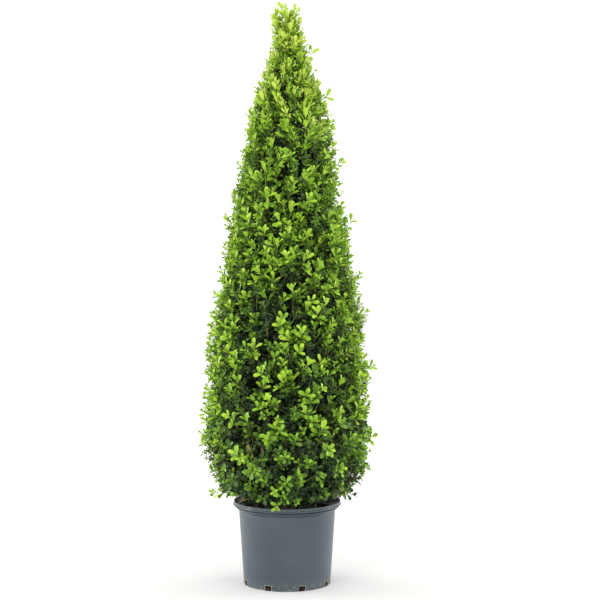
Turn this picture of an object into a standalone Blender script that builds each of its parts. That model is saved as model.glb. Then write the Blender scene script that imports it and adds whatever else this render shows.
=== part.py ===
"""A clipped box cone, about 1.5 m tall, in a ten-litre nursery pot.

Metres, +Z up, front towards -Y. The origin is the middle of the pot's flat underside.
One stem runs up the middle. The clipped crown is five tiers of foliage, each a single solid: a core,
the bough that carries it, and shoots that fork and bear leaves in opposite pairs.
"""

import math
import random
from dataclasses import dataclass
from functools import partial

import bmesh
import bpy
import numpy as np
from mathutils import Matrix, Vector
from mathutils.bvhtree import BVHTree

# Clearance between touching solids
GAP = 0.0003

# Pot: a thin tapered wall, a sloping shoulder and an upright lip
POT_HEIGHT = 0.220
LIP_RADIUS = 0.141
LIP_HEIGHT = 0.0115
SHOULDER_BASE = 0.196
NECK_RADIUS = 0.1272
BASE_RADIUS = 0.1145
POT_WALL = 0.0022
POT_FLOOR = 0.003
INNER_SHOULDER_DROP = 0.0010
BASE_CHAMFER = 0.0025
LIP_ROUND = 0.0008
POT_SEGMENTS = 40

# Drainage notches round the foot of the wall
NOTCHES = 8
FIRST_NOTCH = math.radians(-70)
NOTCH_WIDTH = 0.0175
NOTCH_HEIGHT = 0.011
NOTCH_DEPTH = 0.014

# Compost in the pot, slightly dished between the wall and the stem
COMPOST_TOP = 0.197
COMPOST_DISH = 0.004
COMPOST_EDGE_DISH = 0.0012
COMPOST_SEAT_RADIUS = 0.032
COMPOST_LOWEST_AT = 0.62

# Stem: from its flat foot on the compost to the tip that carries the top tier
STEM_FOOT = COMPOST_TOP + GAP
STEM_TIP = 1.050
STEM_FOOT_RADIUS = 0.0150
STEM_TIP_RADIUS = 0.0062
FLARE = 0.008
FLARE_LENGTH = 0.014
STEM_SWAY = 0.0045
STEM_BOW = 0.0027
STEM_LEAN = -0.013
STEM_SIDES = 10
STEM_RINGS = 22
STEM_CROWDING = 1.8

# Leader: the top tier's own stem
LEADER_TIP = 1.492
LEADER_TIP_RADIUS = 0.0022
LEADER_RINGS = 9

# Crown outline: height and radius where the flank changes its curve
CROWN_OUTLINE = (
    (0.224, 0.150),
    (0.300, 0.197),
    (0.380, 0.217),
    (0.520, 0.213),
    (0.720, 0.189),
    (0.960, 0.150),
    (1.200, 0.108),
    (1.360, 0.056),
    (1.520, 0.008),
)
CROWN_TOP = CROWN_OUTLINE[-1][0]
CROWN_FOOT = POT_HEIGHT + 0.0025

# Core of a tier
CORE_DEPTH = 0.050
CORE_SHARE = 0.30
CORE_SEGMENTS = 20
CORE_RINGS = 6
CORE_LUMPS = 0.0060
CORE_HOLE_CLEARANCE = 0.010
TIER_CLEARANCE = 0.0012
CORE_TOP = 1.350

# Bough: the short limb between the stem and a core
BOUGH_PITCH = math.radians(28)
BOUGH_RADII = (0.0065, 0.0050)
BOUGH_SINK = 0.020
BOUGH_AT = 0.35
LIMB_SIDES = 6

# Shoots and twigs
TWIG_SIDES = 3
TWIG_FIRST_CORNER = math.radians(-30)
TWIG_RADIUS = 0.0028
TWIG_TAPER = 0.62
TWIG_SINK = 0.016
NODE_LENGTH = 0.0030
SHOOT_SHORTFALL = 0.034
NODES = (0.62, 1.0)
SHORTEST_REACH = 0.012
SHORTEST_COSINE = 0.35
FORK_AT = 0.42
FORK_ANGLE = math.radians(46)
FORK_LENGTH = 0.048
JITTER = math.radians(9)
GOLDEN_ANGLE = math.pi * (3 - math.sqrt(5))

# Leaves: opposite pairs, widest past the middle
LEAF_LENGTH = 0.051
LEAF_WIDTH = 0.54
LEAF_THICKNESS = 0.040
LEAF_WIDEST = 0.58
LEAF_ANGLE = math.radians(52)
LEAF_SPREAD = 0.12
LEAF_CUTS = (1.0, 0.85, 0.72, 0.60)
SKIN_ALLOWANCE = 0.012

# Shoots that the shears missed: height and reach of the tip, and its bearing from +X
STRAY_SHOOTS = (
    (1.110, 0.143, math.radians(-6)),
    (0.958, 0.170, math.radians(4)),
    (0.575, 0.221, math.radians(-3)),
    (0.385, 0.232, math.radians(8)),
    (0.372, 0.226, math.radians(184)),
    (1.508, 0.034, math.radians(2)),
)
STRAY_LENGTH = 0.075
STRAY_ALLOWANCE = 0.040


@dataclass(frozen=True)
class Tier:
    """One tier of the crown, between two cones that rise outwards.

    low and high are the heights of the cones at the crown's skin, low_pitch and high_pitch their slopes.
    """

    name: str
    low: float
    high: float
    low_pitch: float
    high_pitch: float
    shoots: int
    seed: int
    colour: tuple

    def skin_height(self, share):
        """Height at the crown's skin, for a share of the way up the tier."""
        return self.low + (self.high - self.low) * share

    def pitch(self, share):
        """Rise of the shoots above level, for a share of the way up the tier."""
        return self.low_pitch + (self.high_pitch - self.low_pitch) * share

    def height(self, share, radius):
        """Height at a radius on the cone that lies a share of the way up the tier."""
        skin = self.skin_height(share)
        return skin - math.tan(self.pitch(share)) * (crown_radius(skin) - radius)

    def holds(self, point, allowance):
        """True where a point lies between the tier's cones, off the pot and no further out than allowed."""
        radius = (point - axis_point(point.z)).length
        if not CROWN_FOOT < point.z < CROWN_TOP or radius > crown_radius(point.z) + allowance:
            return False
        if point.z < self.height(0, radius) + TIER_CLEARANCE:
            return False
        return self.tops_out() or point.z < self.height(1, radius) - TIER_CLEARANCE

    def tops_out(self):
        """True for the tier with no other above it."""
        return self.high >= CROWN_TOP

    def in_core(self, point):
        """True where a point lies inside the core, measured level at the point's own height."""
        shares = [i / (CORE_RINGS - 1) for i in range(CORE_RINGS)]
        radii = [core_radius(self.skin_height(share)) for share in shares]
        heights = [self.height(share, radius) for share, radius in zip(shares, radii)]
        return (point - axis_point(point.z)).length < np.interp(point.z, heights, radii)


TIERS = (
    Tier("foliage_skirt", 0.224, 0.425, math.radians(0), math.radians(22), 17, 11, (0.035, 0.105, 0.022)),
    Tier("foliage_lower", 0.425, 0.650, math.radians(22), math.radians(32), 17, 23, (0.050, 0.150, 0.020)),
    Tier("foliage_middle", 0.650, 0.905, math.radians(32), math.radians(41), 17, 37, (0.080, 0.210, 0.022)),
    Tier("foliage_upper", 0.905, 1.180, math.radians(41), math.radians(50), 15, 41, (0.125, 0.285, 0.028)),
    Tier("foliage_spire", 1.180, CROWN_TOP, math.radians(50), math.radians(74), 16, 53, (0.170, 0.350, 0.035)),
)


def crown_radius(height):
    """Radius of the clipped crown: a smooth curve through the outline's points, with central slopes."""
    heights, radii = np.array(CROWN_OUTLINE).T
    slopes = np.gradient(radii, heights)
    height = min(max(height, heights[0]), heights[-1])
    i = min(int(np.searchsorted(heights, height, side="right")) - 1, len(heights) - 2)
    span = heights[i + 1] - heights[i]
    t = (height - heights[i]) / span
    start = (1 + 2 * t) * (1 - t) ** 2 * radii[i] + t * (1 - t) ** 2 * span * slopes[i]
    end = t * t * (3 - 2 * t) * radii[i + 1] + t * t * (t - 1) * span * slopes[i + 1]
    return float(start + end)


def axis_point(height):
    """Middle of the stem and of the crown: it sways sideways, bows back and leans to -X towards the top."""
    share = (height - STEM_FOOT) / (LEADER_TIP - STEM_FOOT)
    sway = STEM_SWAY * math.sin(2 * math.pi * share)
    return Vector((sway + STEM_LEAN * share**3, STEM_BOW * math.sin(math.pi * share), height))


def stem_radius(height):
    """Radius of the stem: a straight taper, with a flare that dies away above the foot."""
    share = (height - STEM_FOOT) / (STEM_TIP - STEM_FOOT)
    taper = STEM_FOOT_RADIUS + (STEM_TIP_RADIUS - STEM_FOOT_RADIUS) * share
    return taper + FLARE * math.exp(-(height - STEM_FOOT) / FLARE_LENGTH)


def core_radius(height):
    """Radius of the core behind the skin at this height."""
    radius = crown_radius(height)
    return max(radius - CORE_DEPTH, CORE_SHARE * radius)


def around(angle, radius, height):
    """Point at an angle and a radius from the crown's axis."""
    return axis_point(height) + Vector((math.cos(angle), math.sin(angle), 0)) * radius


def clear_scene():
    """Empties the scene."""
    for obj in list(bpy.data.objects):
        bpy.data.objects.remove(obj, do_unlink=True)


def finish(name, colour, roughness):
    """Principled material of one plain colour."""
    made = bpy.data.materials.new(name)
    made.use_nodes = True
    shader = made.node_tree.nodes["Principled BSDF"]
    shader.inputs["Base Color"].default_value = (*colour, 1)
    shader.inputs["Roughness"].default_value = roughness
    shader.inputs["Metallic"].default_value = 0
    return made


def object_of(name, mesh, dressing=None, collection=None):
    """Puts a mesh into the scene, or into a collection of its own."""
    obj = bpy.data.objects.new(name, mesh)
    (collection or bpy.context.scene.collection).objects.link(obj)
    if dressing:
        mesh.materials.append(dressing)
    return obj


def mesh_of(name, points, faces):
    """Mesh of points and faces."""
    mesh = bpy.data.meshes.new(name)
    mesh.from_pydata([tuple(p) for p in points], [], faces)
    mesh.update()
    return mesh


def smooth(obj, degrees=35):
    """Shades a round piece smooth, with its real corners left sharp."""
    obj.data.shade_smooth()
    obj.data.set_sharp_from_angle(angle=math.radians(degrees))


def turned(name, profile, dressing):
    """Turns a profile of (radius, height) points about +Z. It runs down the outside and closes on the axis."""
    points = [(radius, 0, height) for radius, height in profile]
    edges = [(i, i + 1) for i in range(len(points) - 1)]
    mesh = bpy.data.meshes.new(name)
    mesh.from_pydata(points, edges, [])
    obj = object_of(name, mesh, dressing)
    screw = obj.modifiers.new("turn", "SCREW")
    screw.steps = screw.render_steps = POT_SEGMENTS
    screw.use_merge_vertices = True
    screw.merge_threshold = 0.00001
    apply_modifiers(obj)
    return obj


def apply_modifiers(obj):
    """Makes the evaluated mesh the object's own."""
    graph = bpy.context.evaluated_depsgraph_get()
    shaped = bpy.data.meshes.new_from_object(obj.evaluated_get(graph))
    obj.modifiers.clear()
    obj.data = shaped


def loft(rings, closed=False):
    """Points and faces of rings of equal length: capped at the ends, or closed round into a ring."""
    sides = len(rings[0])
    points = [p for ring in rings for p in ring]
    faces = []
    for i in range(len(rings) - (0 if closed else 1)):
        here, after = i * sides, (i + 1) % len(rings) * sides
        for j in range(sides):
            k = (j + 1) % sides
            faces.append((here + j, here + k, after + k, after + j))
    if not closed:
        faces.append(tuple(reversed(range(sides))))
        faces.append(tuple(range(len(points) - sides, len(points))))
    return points, faces


def limb(path, radii, guide):
    """Points and faces of a tapering six-sided limb along a path, flat at both ends.

    Its first corner points across from the path, to the side where the guide lies.
    """
    rings = []
    for i, centre in enumerate(path):
        ahead = (path[min(i + 1, len(path) - 1)] - path[max(i - 1, 0)]).normalized()
        over = (guide - ahead * guide.dot(ahead)).normalized()
        across = over.cross(ahead)
        ring = []
        for j in range(LIMB_SIDES):
            angle = 2 * math.pi * j / LIMB_SIDES
            ring.append(centre + (over * math.cos(angle) - across * math.sin(angle)) * radii[i])
        rings.append(ring)
    return loft(rings)


def zipped(near, far):
    """Triangles between two rings of indices, which may differ in length."""
    faces, i, j = [], 0, 0
    while i < len(near) or j < len(far):
        here, there = near[i % len(near)], far[j % len(far)]
        if i < len(near) and (j >= len(far) or (i + 0.5) / len(near) <= (j + 1) / len(far)):
            faces.append((here, near[(i + 1) % len(near)], there))
            i += 1
        else:
            faces.append((here, far[(j + 1) % len(far)], there))
            j += 1
    return faces


@dataclass
class Leaf:
    """Blade of a leaf: a diamond at its widest, past the middle, and a tip."""

    root: Vector
    along: Vector
    over: Vector
    face: Vector
    length: float

    def points(self):
        """Under side, one edge, upper side, other edge and tip."""
        middle = self.root + self.along * (LEAF_WIDEST * self.length)
        half_width = self.over * (0.5 * LEAF_WIDTH * self.length)
        half_thickness = self.face * (0.5 * LEAF_THICKNESS * self.length)
        rim = [middle - half_thickness, middle + half_width, middle + half_thickness, middle - half_width]
        return rim + [self.root + self.along * self.length]

    def tree(self):
        """Search tree of the blade, for telling whether two leaves cross."""
        points = [self.root] + self.points()
        return BVHTree.FromPolygons(points, [(0, 1, 2), (0, 2, 3), (0, 3, 4), (0, 4, 1), (1, 2, 5), (3, 4, 5)])


class Spray:
    """A three-sided twig with its leaves grown out of its sides and tip, as one closed surface."""

    def __init__(self, start, heading, side, length, radius):
        self.start = start
        self.heading = heading
        self.side = side
        self.length = length
        self.radius = radius
        self.third = heading.cross(side).normalized()
        self.leaves = {}

    def station(self, share):
        """Middle of the twig, a share of the way along it."""
        return self.start + self.heading * (self.length * share)

    def stations(self, nodes):
        """Shares of the way along at which the twig has rings: its root and both ends of each node."""
        half = 0.5 * NODE_LENGTH / self.length
        shares = [-TWIG_SINK / self.length]
        for node in nodes:
            shares += [node - half, node + half]
        return shares

    def ring(self, share):
        """Three points round the twig, which tapers from its start to its tip."""
        radius = self.radius * (1 + (TWIG_TAPER - 1) * max(share, 0.0))
        ring = []
        for corner in range(TWIG_SIDES):
            angle = TWIG_FIRST_CORNER + 2 * math.pi * corner / TWIG_SIDES
            way = self.side * math.cos(angle) + self.third * math.sin(angle)
            ring.append(self.station(share) + way * radius)
        return ring

    def side_leaf(self, share, outward, length):
        """Leaf that leaves the twig towards one side."""
        along = self.heading * math.cos(LEAF_ANGLE) + outward * math.sin(LEAF_ANGLE)
        face = self.heading * math.sin(LEAF_ANGLE) - outward * math.cos(LEAF_ANGLE)
        root = self.station(share) + outward * (self.radius * math.cos(math.pi / TWIG_SIDES))
        return Leaf(root, along, self.heading.cross(outward), face, length)

    def end_leaf(self, length):
        """Leaf that goes straight on from the twig's tip."""
        return Leaf(self.station(1.0), self.heading, self.side, self.third, length)

    def shape(self, nodes):
        """Points and faces, with each kept leaf drawn out of the face that it stands on."""
        rings = [self.ring(share) for share in self.stations(nodes)]
        points = [p for ring in rings for p in ring]
        faces = [tuple(reversed(range(TWIG_SIDES)))]
        for i in range(len(rings) - 1):
            for j in range(TWIG_SIDES):
                k = (j + 1) % TWIG_SIDES
                low, high = i * TWIG_SIDES, (i + 1) * TWIG_SIDES
                faces += self.drawn(points, [low + j, low + k, high + k, high + j], self.leaves.get((i, j)))
        tip = list(range(len(rings) * TWIG_SIDES - TWIG_SIDES, len(rings) * TWIG_SIDES))
        return points, faces + self.drawn(points, tip, self.leaves.get("tip"))

    def drawn(self, points, face, leaf):
        """The face itself, or the faces of the leaf drawn out of it."""
        if leaf is None:
            return [tuple(face)]
        under, edge, upper, other, tip = range(len(points), len(points) + 5)
        points += leaf.points()
        rim = [under, edge, upper, other] if len(face) > TWIG_SIDES else [edge, upper, other, under]
        closing = [(rim[i], rim[(i + 1) % 4], tip) for i in range(4)]
        return zipped(face, rim) + closing


class Shoots:
    """Grows the shoots of one tier and keeps what stays inside it."""

    def __init__(self, tier):
        self.tier = tier
        self.rng = random.Random(tier.seed)
        self.trees = []
        self.shapes = []
        self.allowance = SKIN_ALLOWANCE

    def inside(self, points):
        """True if the tier holds all the points."""
        return all(self.tier.holds(point, self.allowance) for point in points)

    def free(self, leaf):
        """True if the leaf stays inside the tier and crosses no other leaf."""
        if not self.inside(leaf.points()) or any(map(self.tier.in_core, leaf.points())):
            return False
        tree = leaf.tree()
        near = (other for root, other in self.trees if (leaf.root - root).length < 2 * LEAF_LENGTH)
        if any(tree.overlap(other) for other in near):
            return False
        self.trees.append((leaf.root, tree))
        return True

    def turned_by(self, heading, spread):
        """Heading turned a little, at random."""
        tilt = Vector([self.rng.uniform(-1, 1) for _ in range(3)]) * math.tan(spread)
        return (heading + tilt).normalized()

    def fitted(self, leaf_of):
        """The leaf at its natural length, or a shorter one where only that fits, or None."""
        length = LEAF_LENGTH * (1 + LEAF_SPREAD * self.rng.uniform(-1, 1))
        leaves = (leaf_of(length * cut) for cut in LEAF_CUTS)
        return next((leaf for leaf in leaves if self.free(leaf)), None)

    def spray(self, start, heading, side, length, radius, nodes, ends_in_leaf):
        """A twig with a pair of leaves at each node, each pair square to the last, and maybe one at its tip."""
        heading = heading.normalized()
        side = (side - heading * side.dot(heading)).normalized()
        spray = Spray(start, heading, side, length, radius)
        if not self.inside(spray.ring(-TWIG_SINK / length) + spray.ring(1.0)):
            return False
        for i, node in enumerate(nodes):
            segment = 2 * i + 1
            square = i % 2 == 1
            ways = ((spray.third, 1), (-spray.third, 2)) if square else ((spray.side, 0), (-spray.side, 1))
            for outward, face in ways:
                leaf_of = partial(spray.side_leaf, node, outward)
                spray.leaves[segment, face] = self.fitted(leaf_of)
        if ends_in_leaf:
            spray.leaves["tip"] = self.fitted(spray.end_leaf)
        self.shapes.append(spray.shape(nodes))
        return True

    def shoot(self, share, angle):
        """One shoot with a twig forking off to each side, from the core or the bare leader to the skin."""
        skin = self.tier.skin_height(share)
        pitch = self.tier.pitch(share)
        bare = self.tier.tops_out() and skin > CORE_TOP
        root_radius = 0.0 if bare else core_radius(skin)
        start = around(angle, root_radius, self.tier.height(share, root_radius))
        outward = Vector((math.cos(angle), math.sin(angle), 0))
        heading = self.turned_by(outward * math.cos(pitch) + Vector((0, 0, math.sin(pitch))), JITTER)
        reach = max(crown_radius(skin) - root_radius - SHOOT_SHORTFALL, SHORTEST_REACH)
        length = reach / max(math.cos(pitch), SHORTEST_COSINE)
        level = heading.cross(Vector((0, 0, 1))).normalized()
        side = Matrix.Rotation(self.rng.uniform(0, math.pi), 3, heading) @ level
        if not self.spray(start, heading, side, length, TWIG_RADIUS, NODES, True):
            return
        cross = heading.cross(side)
        for way in (1, -1):
            branch = heading * math.cos(FORK_ANGLE) + cross * (way * math.sin(FORK_ANGLE))
            branch = self.turned_by(branch, JITTER)
            fork = start + heading * (length * FORK_AT) + branch * TWIG_SINK
            self.spray(fork, branch, side, FORK_LENGTH - TWIG_SINK, TWIG_RADIUS * TWIG_TAPER, (1.0,), False)

    def stray(self, height, reach, angle):
        """One long shoot with two pairs, out past the clipped skin."""
        pitch = self.tier.pitch((height - self.tier.low) / (self.tier.high - self.tier.low))
        outward = Vector((math.cos(angle), math.sin(angle), 0))
        heading = outward * math.cos(pitch) + Vector((0, 0, math.sin(pitch)))
        tip = around(angle, reach, height) - heading * LEAF_LENGTH
        start = tip - heading * STRAY_LENGTH
        side = heading.cross(Vector((0, 0, 1)))
        self.spray(start, heading, side, STRAY_LENGTH, TWIG_RADIUS, NODES, True)

    def grow(self):
        """All the shoots of the tier: the strays, then the rest a golden angle apart on their way up."""
        self.allowance = STRAY_ALLOWANCE
        for height, reach, angle in STRAY_SHOOTS:
            if self.tier.low <= height < self.tier.high:
                self.stray(height, reach, angle)
        self.allowance = SKIN_ALLOWANCE
        for i in range(self.tier.shoots):
            self.shoot((i + 0.5) / self.tier.shoots, i * GOLDEN_ANGLE + self.tier.seed)
        return self.shapes


def cone_ring(tier, share, radius):
    """Ring of points round the axis on the cone that lies a share of the way up the tier."""
    angles = [2 * math.pi * j / CORE_SEGMENTS for j in range(CORE_SEGMENTS)]
    return [around(angle, radius, tier.height(share, radius)) for angle in angles]


def lumpy_ring(tier, share, rng):
    """Ring of points on the core's uneven outside, a share of the way up the tier."""
    ring = []
    for j in range(CORE_SEGMENTS):
        radius = core_radius(tier.skin_height(share)) + CORE_LUMPS * rng.uniform(-1, 1)
        ring.append(around(2 * math.pi * j / CORE_SEGMENTS, radius, tier.height(share, radius)))
    return ring


def ring_core(tier, rng):
    """Core of a tier that the stem runs through: a thick ring, open round the stem."""
    margin = TIER_CLEARANCE / (tier.high - tier.low)
    shares = [margin + (1 - 2 * margin) * i / (CORE_RINGS - 1) for i in range(CORE_RINGS)]
    hole = stem_radius(tier.low - tier.low_pitch * core_radius(tier.low)) + CORE_HOLE_CLEARANCE
    outside = [lumpy_ring(tier, share, rng) for share in shares]
    inside = [cone_ring(tier, share, hole) for share in (shares[-1], shares[0])]
    return loft(outside + inside, closed=True)


def spire_core(tier, rng):
    """Core of the top tier: a slim cone that closes round the leader."""
    last = (CORE_TOP - tier.low) / (tier.high - tier.low)
    first = TIER_CLEARANCE / (tier.high - tier.low)
    shares = [first + (last - first) * i / (CORE_RINGS - 1) for i in range(CORE_RINGS)]
    foot = cone_ring(tier, first, 2 * STEM_TIP_RADIUS)
    return loft([foot] + [lumpy_ring(tier, share, rng) for share in shares])


def bough(tier):
    """Bough of a tier: its upper edge starts a hair clear of a corner of the stem, and it ends in the core."""
    angle = 2 * math.pi * (tier.seed % STEM_SIDES) / STEM_SIDES
    top = tier.height(BOUGH_AT, 0.0)
    outward = Vector((math.cos(angle), math.sin(angle), 0))
    upward = Vector((0, 0, 1))
    heading = outward * math.cos(BOUGH_PITCH) + upward * math.sin(BOUGH_PITCH)
    below = outward * math.sin(BOUGH_PITCH) - upward * math.cos(BOUGH_PITCH)
    start = around(angle, stem_radius(top) + GAP, top) + below * BOUGH_RADII[0]
    end = start + heading * ((CORE_HOLE_CLEARANCE + BOUGH_SINK) / math.cos(BOUGH_PITCH))
    return limb([start, end], BOUGH_RADII, upward)


def leader():
    """Stem of the top tier: it stands on the stem's tip and runs up to the top of the crown."""
    path = [axis_point(height) for height in np.linspace(STEM_TIP + GAP, LEADER_TIP, LEADER_RINGS).tolist()]
    radii = np.linspace(STEM_TIP_RADIUS, LEADER_TIP_RADIUS, LEADER_RINGS).tolist()
    return limb(path, radii, Vector((0, 1, 0)))


def largest_island(mesh):
    """Keeps the outer surface of the largest piece: scraps and sealed hollows go."""
    shape = bmesh.new()
    shape.from_mesh(mesh)
    left, islands = set(shape.verts), []
    while left:
        found, edge = set(), [next(iter(left))]
        while edge:
            vertex = edge.pop()
            if vertex in found:
                continue
            found.add(vertex)
            edge.extend(e.other_vert(vertex) for e in vertex.link_edges)
        islands.append(found)
        left -= found
    biggest = max(islands, key=len)
    bmesh.ops.delete(shape, geom=[v for v in shape.verts if v not in biggest], context="VERTS")
    shape.to_mesh(mesh)
    shape.free()


def fused(name, shapes, dressing):
    """Joins overlapping closed shapes into one solid."""
    group = bpy.data.collections.new(name + "_pieces")
    bpy.context.scene.collection.children.link(group)
    for i, (points, faces) in enumerate(shapes[1:]):
        object_of(f"{name}_{i}", mesh_of(name, points, faces), None, group)
    whole = object_of(name, mesh_of(name, *shapes[0]), dressing)
    union = whole.modifiers.new("fuse", "BOOLEAN")
    union.operation = "UNION"
    union.operand_type = "COLLECTION"
    union.solver = "EXACT"
    union.collection = group
    apply_modifiers(whole)
    for obj in list(group.objects):
        bpy.data.objects.remove(obj, do_unlink=True)
    bpy.data.collections.remove(group)
    largest_island(whole.data)
    return whole


def pot_profile():
    """Section of the pot, down the outside and up the inside."""
    shoulder_top = POT_HEIGHT - LIP_HEIGHT
    inner_lip = LIP_RADIUS - POT_WALL
    inner_base = BASE_RADIUS - POT_WALL
    return (
        (inner_lip, POT_HEIGHT - LIP_ROUND),
        (inner_lip + LIP_ROUND, POT_HEIGHT),
        (LIP_RADIUS - LIP_ROUND, POT_HEIGHT),
        (LIP_RADIUS, POT_HEIGHT - LIP_ROUND),
        (LIP_RADIUS, shoulder_top + LIP_ROUND),
        (LIP_RADIUS - LIP_ROUND, shoulder_top),
        (NECK_RADIUS, SHOULDER_BASE),
        (BASE_RADIUS, BASE_CHAMFER),
        (BASE_RADIUS - BASE_CHAMFER, 0),
        (0, 0),
        (0, POT_FLOOR),
        (inner_base, POT_FLOOR),
        (NECK_RADIUS - POT_WALL, SHOULDER_BASE + INNER_SHOULDER_DROP),
        (inner_lip, shoulder_top + INNER_SHOULDER_DROP),
        (inner_lip, POT_HEIGHT - LIP_ROUND),
    )


def make_pot(dressing):
    """Turned pot with drainage notches cut through the foot of its wall and the edge of its floor."""
    pot = turned("pot", pot_profile(), dressing)
    for i in range(NOTCHES):
        angle = FIRST_NOTCH + 2 * math.pi * i / NOTCHES
        shape = bmesh.new()
        bmesh.ops.create_cube(shape, size=1)
        bmesh.ops.scale(shape, vec=(NOTCH_DEPTH, NOTCH_WIDTH, 2 * NOTCH_HEIGHT), verts=shape.verts)
        mesh = bpy.data.meshes.new("notch")
        shape.to_mesh(mesh)
        shape.free()
        cutter = object_of(f"notch_{i}", mesh)
        cutter.location = (BASE_RADIUS * math.cos(angle), BASE_RADIUS * math.sin(angle), 0)
        cutter.rotation_euler = (0, 0, angle)
        cutter.hide_render = True
        cutter.display_type = "WIRE"
        cut = pot.modifiers.new(f"notch_{i}", "BOOLEAN")
        cut.operation = "DIFFERENCE"
        cut.object = cutter
    smooth(pot, 30)
    return pot


def make_compost(dressing):
    """Compost that fills the pot, with a flat seat under the stem."""
    clear = POT_WALL + GAP
    bottom = POT_FLOOR + GAP
    rise = (COMPOST_TOP - bottom) / (SHOULDER_BASE - POT_FLOOR)
    top_radius = BASE_RADIUS - clear + (NECK_RADIUS - BASE_RADIUS) * rise - GAP
    profile = (
        (0, COMPOST_TOP),
        (COMPOST_SEAT_RADIUS, COMPOST_TOP),
        (COMPOST_LOWEST_AT * top_radius, COMPOST_TOP - COMPOST_DISH),
        (top_radius, COMPOST_TOP - COMPOST_EDGE_DISH),
        (BASE_RADIUS - clear, bottom),
        (0, bottom),
    )
    compost = turned("compost", profile, dressing)
    smooth(compost)
    return compost


def make_stem(dressing):
    """Tapering stem, flared at its foot and cut flat at both ends."""
    shares = [(i / (STEM_RINGS - 1)) ** STEM_CROWDING for i in range(STEM_RINGS)]
    heights = [STEM_FOOT + (STEM_TIP - STEM_FOOT) * share for share in shares]
    path = [axis_point(height) for height in heights]
    rings = []
    for centre, height in zip(path, heights):
        turn = [2 * math.pi * j / STEM_SIDES for j in range(STEM_SIDES)]
        rings.append([centre + Vector((math.cos(a), math.sin(a), 0)) * stem_radius(height) for a in turn])
    stem = object_of("stem", mesh_of("stem", *loft(rings)), dressing)
    smooth(stem, 50)
    return stem


def make_tier(tier, dressing):
    """One tier of foliage, fused into a single solid."""
    rng = random.Random(tier.seed + 1)
    carried = [leader(), spire_core(tier, rng)] if tier.tops_out() else [ring_core(tier, rng), bough(tier)]
    return fused(tier.name, carried + Shoots(tier).grow(), dressing)


def main():
    """Builds the plant and its pot."""
    clear_scene()
    make_pot(finish("pot_plastic", (0.110, 0.130, 0.150), 0.50))
    make_compost(finish("compost", (0.020, 0.014, 0.010), 0.95))
    make_stem(finish("bark", (0.160, 0.115, 0.070), 0.85))
    for tier in TIERS:
        make_tier(tier, finish(tier.name.replace("foliage", "leaves"), tier.colour, 0.45))


main()
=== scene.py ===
"""Looks of a clipped box cone in its nursery pot.

The crown grows by the rule of the solids that it stands for: limbs a golden angle apart leave the stem and
rise at their tier's pitch, wood and shoots fork in opposite pairs, and leaves stand in pairs, each pair
square to the last. Metres, +Z up, front towards -Y.
"""

import logging
import math
from collections.abc import Callable, Iterable
from dataclasses import dataclass, field, replace
from enum import Enum

import bpy
import numpy as np
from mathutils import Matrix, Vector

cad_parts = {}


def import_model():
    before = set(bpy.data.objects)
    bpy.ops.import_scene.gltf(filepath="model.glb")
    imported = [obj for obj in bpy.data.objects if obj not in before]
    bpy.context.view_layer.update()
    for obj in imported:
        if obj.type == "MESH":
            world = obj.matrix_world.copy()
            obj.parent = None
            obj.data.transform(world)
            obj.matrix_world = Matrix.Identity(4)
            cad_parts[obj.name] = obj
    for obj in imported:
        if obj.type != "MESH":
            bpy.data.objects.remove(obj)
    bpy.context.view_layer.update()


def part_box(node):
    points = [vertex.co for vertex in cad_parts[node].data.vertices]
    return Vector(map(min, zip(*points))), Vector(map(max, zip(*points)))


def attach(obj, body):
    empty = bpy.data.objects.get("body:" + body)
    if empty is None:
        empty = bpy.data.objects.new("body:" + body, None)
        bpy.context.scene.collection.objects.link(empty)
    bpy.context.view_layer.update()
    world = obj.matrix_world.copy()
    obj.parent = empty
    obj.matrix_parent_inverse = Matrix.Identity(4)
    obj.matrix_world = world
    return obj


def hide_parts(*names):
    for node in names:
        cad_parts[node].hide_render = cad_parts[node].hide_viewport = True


Array = np.ndarray
Colour = tuple[float, float, float]
Place = tuple[float, float, float]
Socket = bpy.types.NodeSocket

log = logging.getLogger("box_cone")

BODY = "root"
UP = np.array((0.0, 0.0, 1.0))
GOLDEN_ANGLE = math.pi * (3 - math.sqrt(5))
# Steps in a metre of the whole numbers that list small sizes.
MILLIMETRES = 1000
TENTHS = 10000


# Arrays of vectors


def unit(vectors: Array) -> Array:
    """Vectors of length one, along the last axis."""
    return vectors / np.maximum(np.linalg.norm(vectors, axis=-1, keepdims=True), 1e-12)


def squared(vectors: Array, headings: Array) -> Array:
    """Unit vectors left when the part of each vector along its heading is taken away."""
    return unit(vectors - headings * np.sum(vectors * headings, axis=-1, keepdims=True))


def level(angles: Array) -> Array:
    """Unit vectors in the level plane at these angles from +X."""
    return np.stack((np.cos(angles), np.sin(angles), np.zeros_like(angles)), axis=-1)


def round_turn(count: int) -> Array:
    """Angles that divide a whole turn evenly."""
    return 2 * np.pi * np.arange(count) / count


def ringed(radii: Array, angles: Array, heights: Array | float) -> Array:
    """Points (radius * cos(a), radius * sin(a), height), from arrays whose shapes fit together."""
    return np.stack(np.broadcast_arrays(radii * np.cos(angles), radii * np.sin(angles), heights), axis=-1)


def sideness(angles: Array) -> Array:
    """1 at the crown's two sides, fading to 0 at its front and back: cos(a)^6."""
    return np.cos(angles) ** 6


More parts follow.
